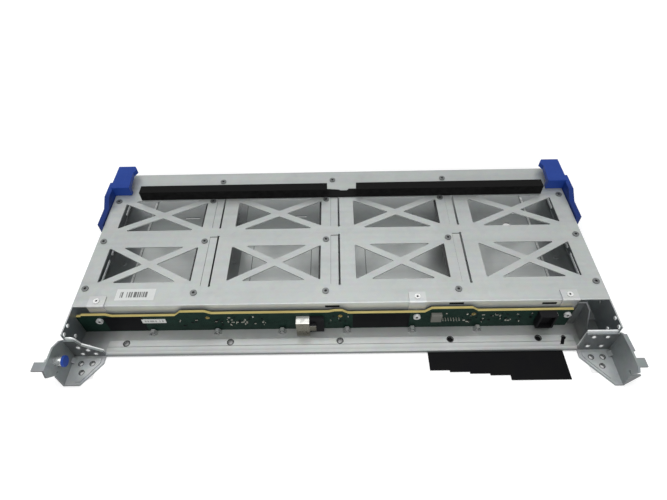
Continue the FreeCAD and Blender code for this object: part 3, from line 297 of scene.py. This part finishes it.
def boardFinish(name, look):
    # green mask over copper runs on the faces, bare laminate on the cut edge
    mat, tree, bsdf = newMaterial(name)
    runs = tree.nodes.new("ShaderNodeTexBrick")
    runs.inputs["Scale"].default_value = look["runScale"]
    runs.inputs["Mortar Size"].default_value = look["runWidth"]
    runs.inputs["Color1"].default_value = (*look["mask"], 1)
    runs.inputs["Color2"].default_value = (*look["maskDark"], 1)
    runs.inputs["Mortar"].default_value = (*look["run"], 1)
    tree.links.new(place(tree, turn=look["upright"]), runs.inputs["Vector"])
    haze = noise(tree, place(tree), look["haze"])
    hazy = spread(tree, haze, *look["hazeFrom"], *look["hazeTo"])
    mask = tint(tree, hazy, runs.outputs["Color"], look["maskDark"])
    fibre = noise(tree, place(tree, look["fibreAlong"]), **look["fibre"])
    edge = tint(tree, spread(tree, fibre, *look["fibreFrom"]), look["edge"], look["edgeDark"])
    tree.links.new(tint(tree, facing(tree, "Y", look["face"]), edge, mask), bsdf.inputs["Base Color"])
    tree.links.new(spread(tree, haze, *noiseRange, *look["rough"]), bsdf.inputs["Roughness"])
    bsdf.inputs["Specular IOR Level"].default_value = look["gloss"]
    tree.links.new(relief(tree, fibre, look["bump"], look["depth"]), bsdf.inputs["Normal"])
    return mat


coverLook = {"colour": (0.39, 0.412, 0.405), "streak": (5, 190, 5), "flake": 260.0, "spangle": 0.05,
             "grain": 0.05, "smudge": 0.35, "rough": (0.36, 0.48), "metal": 0.55, "bump": 0.05}
# painted light: a lighter tone on the cover's apron and other faces that look along y
lidLook = {**coverLook, "front": (0.54, 0.57, 0.56)}
# the pan carries painted shade on its front faces, its ends, its ears and its lip, and painted light on its
# floor under the windows
panLook = {**coverLook, "colour": (0.38, 0.395, 0.387), "front": (0.15, 0.16, 0.16),
           "ends": (0.15, 0.16, 0.16), "endsFrom": (0.182, 0.2),
           "paintedLightBands": [((0.78, 0.81, 0.8), 0.008, 0.022), ((0.64, 0.67, 0.66), 0.05, 0.08),
                     ((0.32, 0.34, 0.34), 0.085, 0.13), ((0.29, 0.3, 0.295), -0.0235, -0.026)],
           "raised": (0.13, 0.14, 0.145), "raisedFrom": (0.007, 0.015),
           "grain": 0.03, "smudge": 0.1, "rough": (0.3, 0.34), "metal": 0.42, "bump": 0.01}
# painted shade: the walls are the cover's sheet given a darker colour
wallLook = {**coverLook, "colour": (0.17, 0.19, 0.2), "streak": (190, 5, 5), "flat": (0.44, 0.46, 0.46),
            "flatHeights": (-0.003, 0.006),
            "dotHighlight": (0.75, 0.77, 0.77), "dotHighlightFrom": (0.2153, 0.2149), "dotHighlightRow": (-0.006, -0.009),
            "grain": 0.06, "rough": (0.26, 0.36), "metal": 0.5, "bump": 0.03}
# painted shade: the dividers darker still, on their feet and high up under the slits
dividerLook = {**wallLook, "colour": (0.08, 0.087, 0.09), "flat": (0.3, 0.32, 0.32),
               "flatHeights": (0.006, 0.004), "metal": 0.3,
               "raised": (0.012, 0.012, 0.013), "raisedFrom": (0.027, 0.0295)}
# painted shade on the bracket walls and front faces, painted light on their feet
bracketLook = {**coverLook, "colour": (0.22, 0.24, 0.245), "flat": (0.43, 0.452, 0.457),
               "flatHeights": (0.006, 0.004), "front": (0.09, 0.097, 0.1), "streak": (60, 60, 6),
               "grain": 0.08, "rough": (0.3, 0.42), "metal": 0.45, "smudge": 0.7}
clipLook = {**coverLook, "colour": (0.46, 0.475, 0.47), "rough": (0.34, 0.44)}
rivetLook = {"colour": (0.52, 0.54, 0.54), "rough": (0.25, 0.4), "metal": 0.7}
coverRivetLook = {**rivetLook, "colour": (0.2, 0.21, 0.21), "dimple": (0.0320, 0.0325),
                  "pitShade": (0.03, 0.03, 0.03)}
clipRivetLook = {**rivetLook, "colour": (0.85, 0.86, 0.85), "metal": 0.4, "dimple": (0.0329, 0.0333),
                 "pitShade": (0.01, 0.01, 0.01)}
# painted shade: the bracket rivets are dark round their bright crowns
bracketRivetLook = {**rivetLook, "colour": (0.2, 0.21, 0.21), "metal": 0.5}
floorRivetLook = {"colour": (0.39, 0.41, 0.415), "rough": (0.28, 0.38), "metal": 0.4}
# painted shade on the shell's front face, its top stays bright
shellLook = {"colour": (0.74, 0.74, 0.7), "front": (0.2, 0.19, 0.155), "rough": (0.22, 0.4), "metal": 0.6}
screwLook = {"colour": (0.8, 0.81, 0.8), "rough": (0.28, 0.42), "metal": 0.4}
plungerLook = {"colour": (0.62, 0.64, 0.64), "rough": (0.18, 0.32), "metal": 0.85}
contactLook = {"colour": (0.66, 0.64, 0.57), "rough": (0.22, 0.36), "metal": 0.8}
tailLook = {"colour": (0.9, 0.9, 0.86), "rough": (0.3, 0.45), "metal": 0.2}
springLook = {"colour": (0.42, 0.43, 0.43), "rough": (0.28, 0.42), "metal": 0.95}
knobLook = {"colour": (0.013, 0.045, 0.25), "rubbed": (0.018, 0.055, 0.28), "scuffed": (0.07, 0.12, 0.38),
            "scuff": 0.25, "texture": 900.0, "rough": (0.34, 0.46), "gloss": 0.12, "bump": 0.08}
leverLook = {**knobLook, "arm": (0.008, 0.027, 0.15), "armTo": (0.118, 0.134)}
connectorLook = {"colour": (0.005, 0.005, 0.006), "rubbed": (0.008, 0.008, 0.009),
                 "scuffed": (0.04, 0.04, 0.04), "scuff": 0.2, "texture": 1400.0,
                 "rough": (0.42, 0.58), "gloss": 0.1, "bump": 0.12}
headerLook = {"colour": (0.12, 0.12, 0.105), "rubbed": (0.16, 0.16, 0.145), "scuffed": (0.4, 0.4, 0.37),
              "scuff": 0.3, "texture": 1100.0, "rough": (0.5, 0.62), "gloss": 0.3, "bump": 0.15}
filmLook = {"colour": (0.003, 0.003, 0.004), "rubbed": (0.005, 0.005, 0.006), "scuffed": (0.02, 0.02, 0.02),
            "scuff": 0.15, "texture": 300.0, "rough": (0.3, 0.45), "gloss": 0.05, "bump": 0.06}
flapLook = {"colour": (0.003, 0.003, 0.004), "rubbed": (0.005, 0.005, 0.005), "scuffed": (0.02, 0.02, 0.02),
            "scuff": 0.15, "texture": 700.0, "rough": (0.38, 0.55), "gloss": 0.05, "bump": 0.1}
foamLook = {"colour": (0.004, 0.004, 0.004), "dust": (0.011, 0.011, 0.011), "cell": 1300.0,
            "specks": {"scale": 180.0, "detail": 6.0, "rough": 0.7}, "specksFrom": (0.4, 0.7),
            "upward": (0.5, 1.0), "upwardDust": 0.6, "rough": (0.75, 0.95), "gloss": 0.06,
            "bump": 0.5, "depth": 0.0004}
boardLook = {"mask": (0.009, 0.026, 0.020), "maskDark": (0.006, 0.016, 0.012), "run": (0.02, 0.05, 0.036),
             "runScale": 150.0, "runWidth": 0.012, "upright": (math.radians(90), 0, 0),
             "haze": 90.0, "hazeFrom": (0.35, 0.7), "hazeTo": (0.0, 0.5),
             "edge": (0.52, 0.44, 0.18), "edgeDark": (0.38, 0.31, 0.11), "face": (0.4, 0.6),
             "fibre": {"scale": 1.0, "detail": 5.0, "rough": 0.7}, "fibreAlong": (60, 900, 60),
             "fibreFrom": (0.35, 0.65), "rough": (0.3, 0.5), "gloss": 0.06, "bump": 0.2, "depth": 0.0002}

finishes = {
    "cover": sheetFinish("coverSheet", lidLook),
    "pan": sheetFinish("panSheet", panLook),
    "wall": sheetFinish("wallSheet", wallLook),
    "divider": sheetFinish("dividerSheet", dividerLook),
    "bracket": sheetFinish("bracketSheet", bracketLook),
    "clip": sheetFinish("clipSheet", clipLook),
    "rivet": turnedFinish("rivetSteel", rivetLook),
    "floorRivet": turnedFinish("floorRivetSteel", floorRivetLook),
    "coverRivet": turnedFinish("coverRivetSteel", coverRivetLook),
    "clipRivet": turnedFinish("clipRivetSteel", clipRivetLook),
    "bracketRivet": turnedFinish("bracketRivetSteel", bracketRivetLook),
    "shell": turnedFinish("connectorShell", shellLook),
    "screw": turnedFinish("screwSteel", screwLook),
    "plunger": turnedFinish("plungerNickel", plungerLook),
    "contact": turnedFinish("contactTin", contactLook),
    "tail": turnedFinish("tailTin", tailLook),
    "spring": turnedFinish("springWire", springLook),
    "lever": mouldedFinish("leverBlue", leverLook),
    "knob": mouldedFinish("knobBlue", knobLook),
    "connector": mouldedFinish("connectorBlack", connectorLook),
    "header": mouldedFinish("headerGrey", headerLook),
    "film": mouldedFinish("filmBlack", filmLook),
    "flap": mouldedFinish("flapBlack", flapLook),
    "foam": foamFinish("foamBlack", foamLook),
    "board": boardFinish("boardGreen", boardLook),
}
nodeFinish = {
    "top_cover": "cover", "floor_pan": "pan", "left_side_wall": "wall", "right_side_wall": "wall",
    "divider_1": "divider", "divider_2": "divider", "divider_3": "divider", "cover_rivets": "coverRivet",
    "floor_rivets": "floorRivet", "clip_rivets": "clipRivet", "bracket_rivets": "bracketRivet",
    "board_clip_left": "clip", "board_clip_middle": "clip", "board_clip_right": "clip",
    "backplane_board": "board", "board_screws": "screw",
    "drive_connector_1": "connector", "drive_connector_2": "connector",
    "drive_connector_3": "connector", "drive_connector_4": "connector", "data_connector_shell": "shell",
    "data_connector_housing": "connector", "header_connector": "header", "header_pins": "contact",
    "power_connector": "connector", "power_pins": "tail", "board_film_left": "film",
    "board_film_middle": "film", "foam_strip_left": "foam", "foam_strip_right": "foam",
    "foam_bridge": "foam", "latch_lever_left": "lever", "latch_lever_right": "lever",
    "lever_pivot_left": "rivet", "lever_pivot_right": "rivet", "corner_bracket_left": "bracket",
    "corner_bracket_right": "bracket", "plunger_bushing": "plunger", "plunger_pin": "plunger",
    "plunger_knob": "knob", "plunger_spring": "spring", "air_flap": "flap",
}
# how far each finish has its edges broken, in millimetres
edgeBreak = {"cover": 0.12, "pan": 0.12, "wall": 0.12, "divider": 0.12, "bracket": 0.25, "clip": 0.15,
             "lever": 0.5, "knob": 0.3, "connector": 0.2, "header": 0.2, "board": 0.1, "foam": 0.6,
             "shell": 0.2, "rivet": 0.12}
breakSteps = 2
breakAngle = math.radians(50)

for nodeName, finish in nodeFinish.items():
    piece = nodes[nodeName]
    piece.data.materials.clear()
    piece.data.materials.append(finishes[finish])
    if finish in edgeBreak:
        soften = piece.modifiers.new("edgeBreak", "BEVEL")
        soften.width = edgeBreak[finish] * mm
        soften.segments = breakSteps
        soften.limit_method = "ANGLE"
        soften.angle_limit = breakAngle
        soften.use_clamp_overlap = True
print("finishes on", len(nodeFinish), "nodes")


# small pieces on the cover, the board, the floor and the brackets, some of them painted shade and highlights,
# with sizes in millimetres

def newPiece(name, bm, finish):
    mesh = bpy.data.meshes.new(name)
    bm.to_mesh(mesh)
    bm.free()
    mesh.materials.append(finish)
    piece = bpy.data.objects.new(name, mesh)
    bpy.context.scene.collection.objects.link(piece)
    return piece


def cagePiece(name, bm, finish):
    piece = newPiece(name, bm, finish)
    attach(piece, "cage")
    return piece


def addBlock(bm, low, high):
    # corners in metres
    middle = (Vector(low) + Vector(high)) / 2
    size = Vector(high) - Vector(low)
    bmesh.ops.create_cube(bm, size=1, matrix=Matrix.Translation(middle) @ Matrix.Diagonal((*size, 1)))


def addRing(bm, centre, across, up, sizes):
    # flat ring on a face spanned by two directions
    out = across.cross(up)
    loops = []
    for radius, lift in ((sizes["inner"], 0), (sizes["inner"], sizes["rise"]),
                         (sizes["outer"], sizes["rise"]), (sizes["outer"], 0)):
        loop = []
        for step in range(sizes["steps"]):
            angle = 2 * math.pi * step / sizes["steps"]
            spoke = across * math.cos(angle) + up * math.sin(angle)
            loop.append(bm.verts.new(centre + (spoke * radius + out * lift) * mm))
        loops.append(loop)
    for near, far in zip(loops, loops[1:] + loops[:1]):
        for step in range(sizes["steps"]):
            after = (step + 1) % sizes["steps"]
            bm.faces.new((near[step], near[after], far[after], far[step]))


def addStud(bm, x, face, z, sizes):
    # stud that stands out to the front of a face
    spot = Vector((x, face - sizes["rise"] * mm / 2, z))
    forward = Matrix.Translation(spot) @ Matrix.Rotation(math.radians(90), 4, "X")
    bmesh.ops.create_cone(bm, cap_ends=True, segments=sizes["steps"], radius1=sizes["base"] * mm,
                          radius2=sizes["top"] * mm, depth=sizes["rise"] * mm, matrix=forward)


paperTexture = {"grime": {"scale": 260.0, "detail": 5.0, "rough": 0.65}, "grimeFrom": (0.4, 0.75),
                "grimeTo": (0.0, 0.4), "barShare": 0.5, "bar": (0.03, 0.03, 0.03), "rough": (0.45, 0.65),
                "bump": 0.05, "depth": 0.0002}


def paperFinish(name, look):
    # paper label with plain bars between its limits, and soft grime
    mat, tree, bsdf = newMaterial(name)
    spot = splitUp(tree, place(tree))
    steps = sums(tree, "FLOOR", sums(tree, "MULTIPLY", spot["X"], look["bars"]))
    chance = tree.nodes.new("ShaderNodeTexWhiteNoise")
    chance.noise_dimensions = "1D"
    tree.links.new(steps, chance.inputs["W"])
    bar = sums(tree, "GREATER_THAN", chance.outputs["Value"], paperTexture["barShare"])
    for axis, limits in look["limits"].items():
        bar = sums(tree, "MULTIPLY", bar, between(tree, spot[axis], *limits))
    grime = noise(tree, place(tree), **paperTexture["grime"])
    grimy = spread(tree, grime, *paperTexture["grimeFrom"], *paperTexture["grimeTo"])
    paper = tint(tree, grimy, look["paper"], look["stain"])
    printed = tint(tree, sums(tree, "MULTIPLY", bar, look["ink"]), paper, paperTexture["bar"])
    tree.links.new(printed, bsdf.inputs["Base Color"])
    tree.links.new(spread(tree, grime, *noiseRange, *paperTexture["rough"]), bsdf.inputs["Roughness"])
    creases = relief(tree, grime, paperTexture["bump"], paperTexture["depth"])
    tree.links.new(creases, bsdf.inputs["Normal"])
    return mat


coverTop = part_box("foam_strip_left")[0].z
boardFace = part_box("backplane_board")[0].y

coverSticker = {"x": (-183.6, -151.4), "y": (5.3, 16.7), "thick": 0.1}
stickerLook = {"paper": (0.64, 0.66, 0.65), "stain": (0.55, 0.57, 0.56), "bars": 1700.0, "ink": 0.85,
               "limits": {"X": (-0.1802, -0.1560), "Y": (0.0082, 0.0138)}}
sticker = bmesh.new()
addBlock(sticker, (coverSticker["x"][0] * mm, coverSticker["y"][0] * mm, coverTop),
         (coverSticker["x"][1] * mm, coverSticker["y"][1] * mm, coverTop + coverSticker["thick"] * mm))
cagePiece("coverSticker", sticker, paperFinish("stickerPaper", stickerLook))

boardLabel = {"x": (-163.0, -143.3), "z": (13.4, 18.8), "thick": 0.4}
labelLook = {"paper": (0.62, 0.63, 0.61), "stain": (0.5, 0.51, 0.49), "bars": 1400.0, "ink": 0.55,
             "limits": {"X": (-0.1612, -0.1450), "Z": (0.0148, 0.0174)}}
label = bmesh.new()
addBlock(label, (boardLabel["x"][0] * mm, boardFace - boardLabel["thick"] * mm, boardLabel["z"][0] * mm),
         (boardLabel["x"][1] * mm, boardFace, boardLabel["z"][1] * mm))
cagePiece("boardLabel", label, paperFinish("labelPaper", labelLook))

# chips and capacitors: runs of the board as (start, end, count), and parts seen as (x, z, long, tall)
smallParts = {
    "runs": [(-133, -116, 10), (-104, -60, 40), (-12, 8, 8), (100, 112, 12), (112, 158, 30)],
    "seen": [(-89.6, 12.3, 2.6, 1.0), (-81.6, 12.1, 2.6, 1.0), (-64.2, 11.6, 1.2, 1.2), (127, 18.0, 2.4, 0.8),
             (116, 18.2, 2.4, 0.8), (86.2, 20.6, 1.4, 1.2), (140.2, 11.0, 1.0, 1.0)],
    "heights": (7.5, 20.0), "sizes": [(1.0, 0.5), (1.6, 0.8), (2.0, 1.2)], "rise": 0.45,
    "upright": 0.5, "capacitors": 0.45, "seed": 11}


def addSmallPart(bm, x, z, long, tall):
    addBlock(bm, (x * mm, boardFace - smallParts["rise"] * mm, z * mm),
             ((x + long) * mm, boardFace, (z + tall) * mm))


dice = random.Random(smallParts["seed"])
capacitors = bmesh.new()
chips = bmesh.new()
for start, end, count in smallParts["runs"]:
    for number in range(count):
        long, tall = dice.choice(smallParts["sizes"])
        if dice.random() < smallParts["upright"]:
            long, tall = tall, long
        x = dice.uniform(start, end)
        z = dice.uniform(*smallParts["heights"])
        kind = capacitors if dice.random() < smallParts["capacitors"] else chips
        addSmallPart(kind, x, z, long, tall)
for seenPart in smallParts["seen"]:
    addSmallPart(capacitors, *seenPart)
cagePiece("boardCapacitors", capacitors, finishes["contact"])
cagePiece("boardChips", chips, finishes["connector"])

# bare copper rings round the three tooling holes of the board
boardRings = {"places": (-108.25, 0.45, 109.15), "height": 19.6, "inner": 1.65, "outer": 2.05, "rise": 0.06,
               "steps": 28}
copperLook = {"colour": (0.2, 0.13, 0.05), "rough": (0.3, 0.45), "metal": 0.7}
rings = bmesh.new()
for x in boardRings["places"]:
    addRing(rings, Vector((x * mm, boardFace, boardRings["height"] * mm)), alongX, alongZ, boardRings)
bmesh.ops.recalc_face_normals(rings, faces=rings.faces)
cagePiece("boardRings", rings, turnedFinish("bareCopper", copperLook))

# dark rims round the holes of the ledge, and round those in both brackets' feet, as painted shade at the
# holes' edges
ledgeRims = {"places": (-176.5, -90.4, 0.0, 90.4, 162.2), "row": -18.0, "height": 3.6, "inner": 2.2,
             "outer": 2.95, "rise": 0.08, "steps": 32}
footRims = {"holes": ((200.1, -35.1), (209.3, -35.1), (206.4, -43.0)), "height": 2.1,
            "inner": 1.9, "outer": 2.35, "rise": 0.08, "steps": 28}
rimShadeLook = {"colour": (0.008, 0.008, 0.009), "rough": (0.4, 0.55), "metal": 0.2}
rims = bmesh.new()
for x in ledgeRims["places"]:
    addRing(rims, Vector((x, ledgeRims["row"], ledgeRims["height"])) * mm, alongX, alongY, ledgeRims)
for x, y in footRims["holes"]:
    for side in (-1, 1):
        addRing(rims, Vector((side * x, y, footRims["height"])) * mm, alongX, alongY, footRims)
bmesh.ops.recalc_face_normals(rims, faces=rims.faces)
cagePiece("ledgeRims", rims, turnedFinish("rimShade", rimShadeLook))

# edge of the flap, seen through the notch of the ledge
flapEdge = {"reach": 7.0, "y": (-26.5, -16.5), "z": (2.2, 2.55)}
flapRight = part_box("air_flap")[1].x
edge = bmesh.new()
addBlock(edge, (flapRight, flapEdge["y"][0] * mm, flapEdge["z"][0] * mm),
         (flapRight + flapEdge["reach"] * mm, flapEdge["y"][1] * mm, flapEdge["z"][1] * mm))
cagePiece("flapEdge", edge, finishes["flap"])

# painted shade of the drive recesses of the three board screws, as dark studs on the heads, each below its
# clip
screwRecessShades = {"clips": ("board_clip_left", "board_clip_middle", "board_clip_right"), "height": 18.0,
                 "base": 1.1, "top": 1.1, "rise": 0.05, "steps": 6}
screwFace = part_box("board_screws")[0].y
recesses = bmesh.new()
for clipName in screwRecessShades["clips"]:
    low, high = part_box(clipName)
    addStud(recesses, (low.x + high.x) / 2, screwFace, screwRecessShades["height"] * mm, screwRecessShades)
cagePiece("screwRecessShades", recesses, finishes["film"])

# painted highlights: bright crowns on the bracket rivets
rivetCrowns = {"places": ((-197.4, 6.4), (-208.1, 6.4), (-208.1, 16.3), (-201.7, 12.2),
                          (197.4, 8.2), (197.4, 21.8), (208.1, 8.2), (208.1, 21.8)),
               "base": 1.5, "top": 0.8, "rise": 0.4, "steps": 20}
crownHighlightLook = {**rivetLook, "colour": (0.92, 0.93, 0.92), "metal": 0.3}
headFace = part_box("bracket_rivets")[0].y
crowns = bmesh.new()
for x, z in rivetCrowns["places"]:
    addStud(crowns, x * mm, headFace, z * mm, rivetCrowns)
cagePiece("rivetCrowns", crowns, turnedFinish("crownHighlight", crownHighlightLook))

# tab of the connector's shell, bent across the front of the black housing
shellTab = {"x": (-24.8, -19.4), "z": (6.5, 13.4), "thick": 0.4}
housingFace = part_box("data_connector_housing")[0].y
tab = bmesh.new()
addBlock(tab, (shellTab["x"][0] * mm, housingFace - shellTab["thick"] * mm, shellTab["z"][0] * mm),
         (shellTab["x"][1] * mm, housingFace, shellTab["z"][1] * mm))
cagePiece("shellTab", tab, finishes["shell"])

# black blocks close behind the three slots of the apron, as painted shade in the slots
ventSlotShades = {"slots": ((-11.7, 25.6), (88.6, 27.2), (163.6, 25.6)), "wide": 11.8, "tall": 3.0, "play": 0.05,
             "near": 0.15, "far": 0.35}
slotShadeBlocks = bmesh.new()
for x, z in ventSlotShades["slots"]:
    low = Vector((x + ventSlotShades["play"], ventSlotShades["near"], z + ventSlotShades["play"])) * mm
    high = Vector((x + ventSlotShades["wide"] - ventSlotShades["play"], ventSlotShades["far"],
                   z + ventSlotShades["tall"] - ventSlotShades["play"])) * mm
    addBlock(slotShadeBlocks, low, high)
cagePiece("ventSlotShades", slotShadeBlocks, finishes["connector"])

# painted shade along the edges of the lowered tongues beside the slits, and across the rear end of the front
# ones
tongueShadeStrips = {"slits": (-108.25, 0.45, 109.15), "reach": 7.45, "gap": 0.85, "front": (19.0, 74.15),
               "rear": (85.15, 124.2), "height": 31.65, "side": 0.22, "end": 0.7, "rise": 0.04}
seamShadeLook = {"colour": (0.06, 0.065, 0.065), "rough": (0.5, 0.65), "metal": 0.1}
seamTop = tongueShadeStrips["height"] + tongueShadeStrips["rise"]
frontStart, frontEnd = tongueShadeStrips["front"]
rearStart, rearEnd = tongueShadeStrips["rear"]
tongueShades = bmesh.new()
for x in tongueShadeStrips["slits"]:
    left = x - tongueShadeStrips["reach"]
    right = x - tongueShadeStrips["gap"]
    side = left + tongueShadeStrips["side"]
    strips = ((left, frontStart, side, frontEnd), (left, frontEnd - tongueShadeStrips["end"], right, frontEnd),
              (left, rearStart, side, rearEnd))
    for x0, y0, x1, y1 in strips:
        addBlock(tongueShades, Vector((x0, y0, tongueShadeStrips["height"])) * mm, Vector((x1, y1, seamTop)) * mm)
cagePiece("tongueShadeStrips", tongueShades, turnedFinish("paintedSeamShade", seamShadeLook))

# lines on the floor of the bays: painted highlights along the edges of the side feet, and dark lines of
# painted shade
edgeHighlightLook = {"colour": (0.85, 0.87, 0.86), "rough": (0.3, 0.4), "metal": 0.3}
floorLines = {
    "edgeHighlightLines": {"x": ((-190.6, -188.5), (188.5, 190.6)), "y": (20.0, 150.0), "level": 2.0, "rise": 0.04,
                    "finish": turnedFinish("paintedEdgeHighlight", edgeHighlightLook)},
    "shadeLines": {"x": ((-81.95, -81.45), (-26.35, -25.85), (24.85, 25.35)), "y": (45.0, 95.0),
                     "level": 1.0, "rise": 0.04, "finish": turnedFinish("lineShade", seamShadeLook)},
}
for lineName, line in floorLines.items():
    strips = bmesh.new()
    for x0, x1 in line["x"]:
        addBlock(strips, Vector((x0, line["y"][0], line["level"])) * mm,
                 Vector((x1, line["y"][1], line["level"] + line["rise"])) * mm)
    cagePiece(lineName, strips, line["finish"])

# the coil, which shortens towards its seat as the plunger is drawn in, copied as a piece of its own that
# rides on the cage, in place of the spring node
coil = bmesh.new()
coil.from_mesh(nodes["plunger_spring"].data)
spring = cagePiece("springCoil", coil, finishes["spring"])
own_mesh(spring)
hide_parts("plunger_spring")
print("small pieces done")


# stage: pale floor, soft light, the photograph's camera

def whiteSeen(tree):
    # 1 where the camera, a reflection or glass looks straight at the stage
    path = tree.nodes.new("ShaderNodeLightPath")
    seen = sums(tree, "MAXIMUM", path.outputs["Is Camera Ray"], path.outputs["Is Glossy Ray"])
    return sums(tree, "MAXIMUM", seen, path.outputs["Is Transmission Ray"])


# lamps as (watts, size, place), shaded areas as (limits in x from the middle, limits in y), in metres
stageLook = {"floor": 2.6, "drop": 0.0003, "paper": (0.9, 0.9, 0.9), "rough": 0.9, "glow": 0.25,
             "ramp": (0.4, 1.6), "light": (0.3, 0.3, 0.3), "white": (1.0, 1.0, 1.0),
             "key": (20.5, 2.2, (-0.1, 0.0, 1.6)), "fill": (9, 1.0, (0.1, -1.4, 0.8)), "aim": (0, 0.05, 0),
             "shade": [((-0.01, 0.214), (-0.025, 0.01)), ((0.197, 0.2125), (-0.048, -0.025))]}
floorMat, floorTree, floorBsdf = newMaterial("stagePaper")
floorBsdf.inputs["Base Color"].default_value = (*stageLook["paper"], 1)
floorBsdf.inputs["Roughness"].default_value = stageLook["rough"]
floorSpot = splitUp(floorTree, place(floorTree))
fromMiddle = sums(floorTree, "ABSOLUTE", floorSpot["X"])
distance = floorTree.nodes.new("ShaderNodeVectorMath")
distance.operation = "LENGTH"
floorTree.links.new(place(floorTree), distance.inputs["Vector"])
ramp = spread(floorTree, distance.outputs["Value"], *stageLook["ramp"], stageLook["glow"], 1.0)
strength = sums(floorTree, "MULTIPLY", whiteSeen(floorTree), ramp)
for outward, along in stageLook["shade"]:
    # painted shadow: the floor's glow is cut right under the cage and under the feet of the brackets
    inside = sums(floorTree, "MULTIPLY", between(floorTree, fromMiddle, *outward),
                  between(floorTree, floorSpot["Y"], *along))
    strength = sums(floorTree, "MULTIPLY", strength, sums(floorTree, "SUBTRACT", 1, inside))
glow = floorTree.nodes.new("ShaderNodeEmission")
floorTree.links.new(strength, glow.inputs["Strength"])
both = floorTree.nodes.new("ShaderNodeAddShader")
floorTree.links.new(floorBsdf.outputs["BSDF"], both.inputs[0])
floorTree.links.new(glow.outputs["Emission"], both.inputs[1])
floorOut = [node for node in floorTree.nodes if node.type == "OUTPUT_MATERIAL"][0]
floorTree.links.new(both.outputs["Shader"], floorOut.inputs["Surface"])
floorMesh = bmesh.new()
bmesh.ops.create_grid(floorMesh, x_segments=1, y_segments=1, size=stageLook["floor"],
                      matrix=Matrix.Translation((0, 0, -stageLook["drop"])))
floor = newPiece("stageFloor", floorMesh, floorMat)

scene = bpy.context.scene
world = bpy.data.worlds.new("stageWorld")
scene.world = world
world.use_nodes = True
sky = world.node_tree
sky.nodes.clear()
skyOut = sky.nodes.new("ShaderNodeOutputWorld")
skyGlow = sky.nodes.new("ShaderNodeBackground")
sky.links.new(tint(sky, whiteSeen(sky), stageLook["light"], stageLook["white"]), skyGlow.inputs["Color"])
sky.links.new(skyGlow.outputs["Background"], skyOut.inputs["Surface"])

for lampName in ("key", "fill"):
    power, size, spot = stageLook[lampName]
    lamp = bpy.data.lights.new(lampName, "AREA")
    lamp.energy = power
    lamp.shape = "DISK"
    lamp.size = size
    holder = bpy.data.objects.new(lampName, lamp)
    holder.location = spot
    towards = Vector(stageLook["aim"]) - Vector(spot)
    holder.rotation_euler = towards.to_track_quat("-Z", "Y").to_euler()
    scene.collection.objects.link(holder)

# lens and place read from the photograph: focal length and width in pixels, sensor in millimetres
cameraLook = {"focal": 500, "wide": 667, "sensor": 36, "near": 0.01, "spot": (0.00045, -0.22934, 0.36443),
              "pitch": 0.8614, "yaw": -0.01737, "roll": 0.02892}
pitch, yaw, roll = cameraLook["pitch"], cameraLook["yaw"], cameraLook["roll"]
ahead = Vector((math.sin(yaw) * math.cos(pitch), math.cos(yaw) * math.cos(pitch), -math.sin(pitch)))
across = Vector((math.cos(yaw), -math.sin(yaw), 0))
below = ahead.cross(across)
right = across * math.cos(roll) + below * math.sin(roll)
down = below * math.cos(roll) - across * math.sin(roll)
camera = bpy.data.cameras.new("photoCamera")
camera.sensor_fit = "HORIZONTAL"
camera.sensor_width = cameraLook["sensor"]
camera.lens = cameraLook["focal"] / cameraLook["wide"] * cameraLook["sensor"]
camera.clip_start = cameraLook["near"]
eye = bpy.data.objects.new("photoCamera", camera)
turn = Matrix((right, -down, -ahead)).transposed().to_4x4()
eye.matrix_world = Matrix.Translation(cameraLook["spot"]) @ turn
scene.collection.objects.link(eye)
scene.camera = eye
scene.view_settings.view_transform = "Standard"
print("stage and camera set")

bpy.context.view_layer.update()
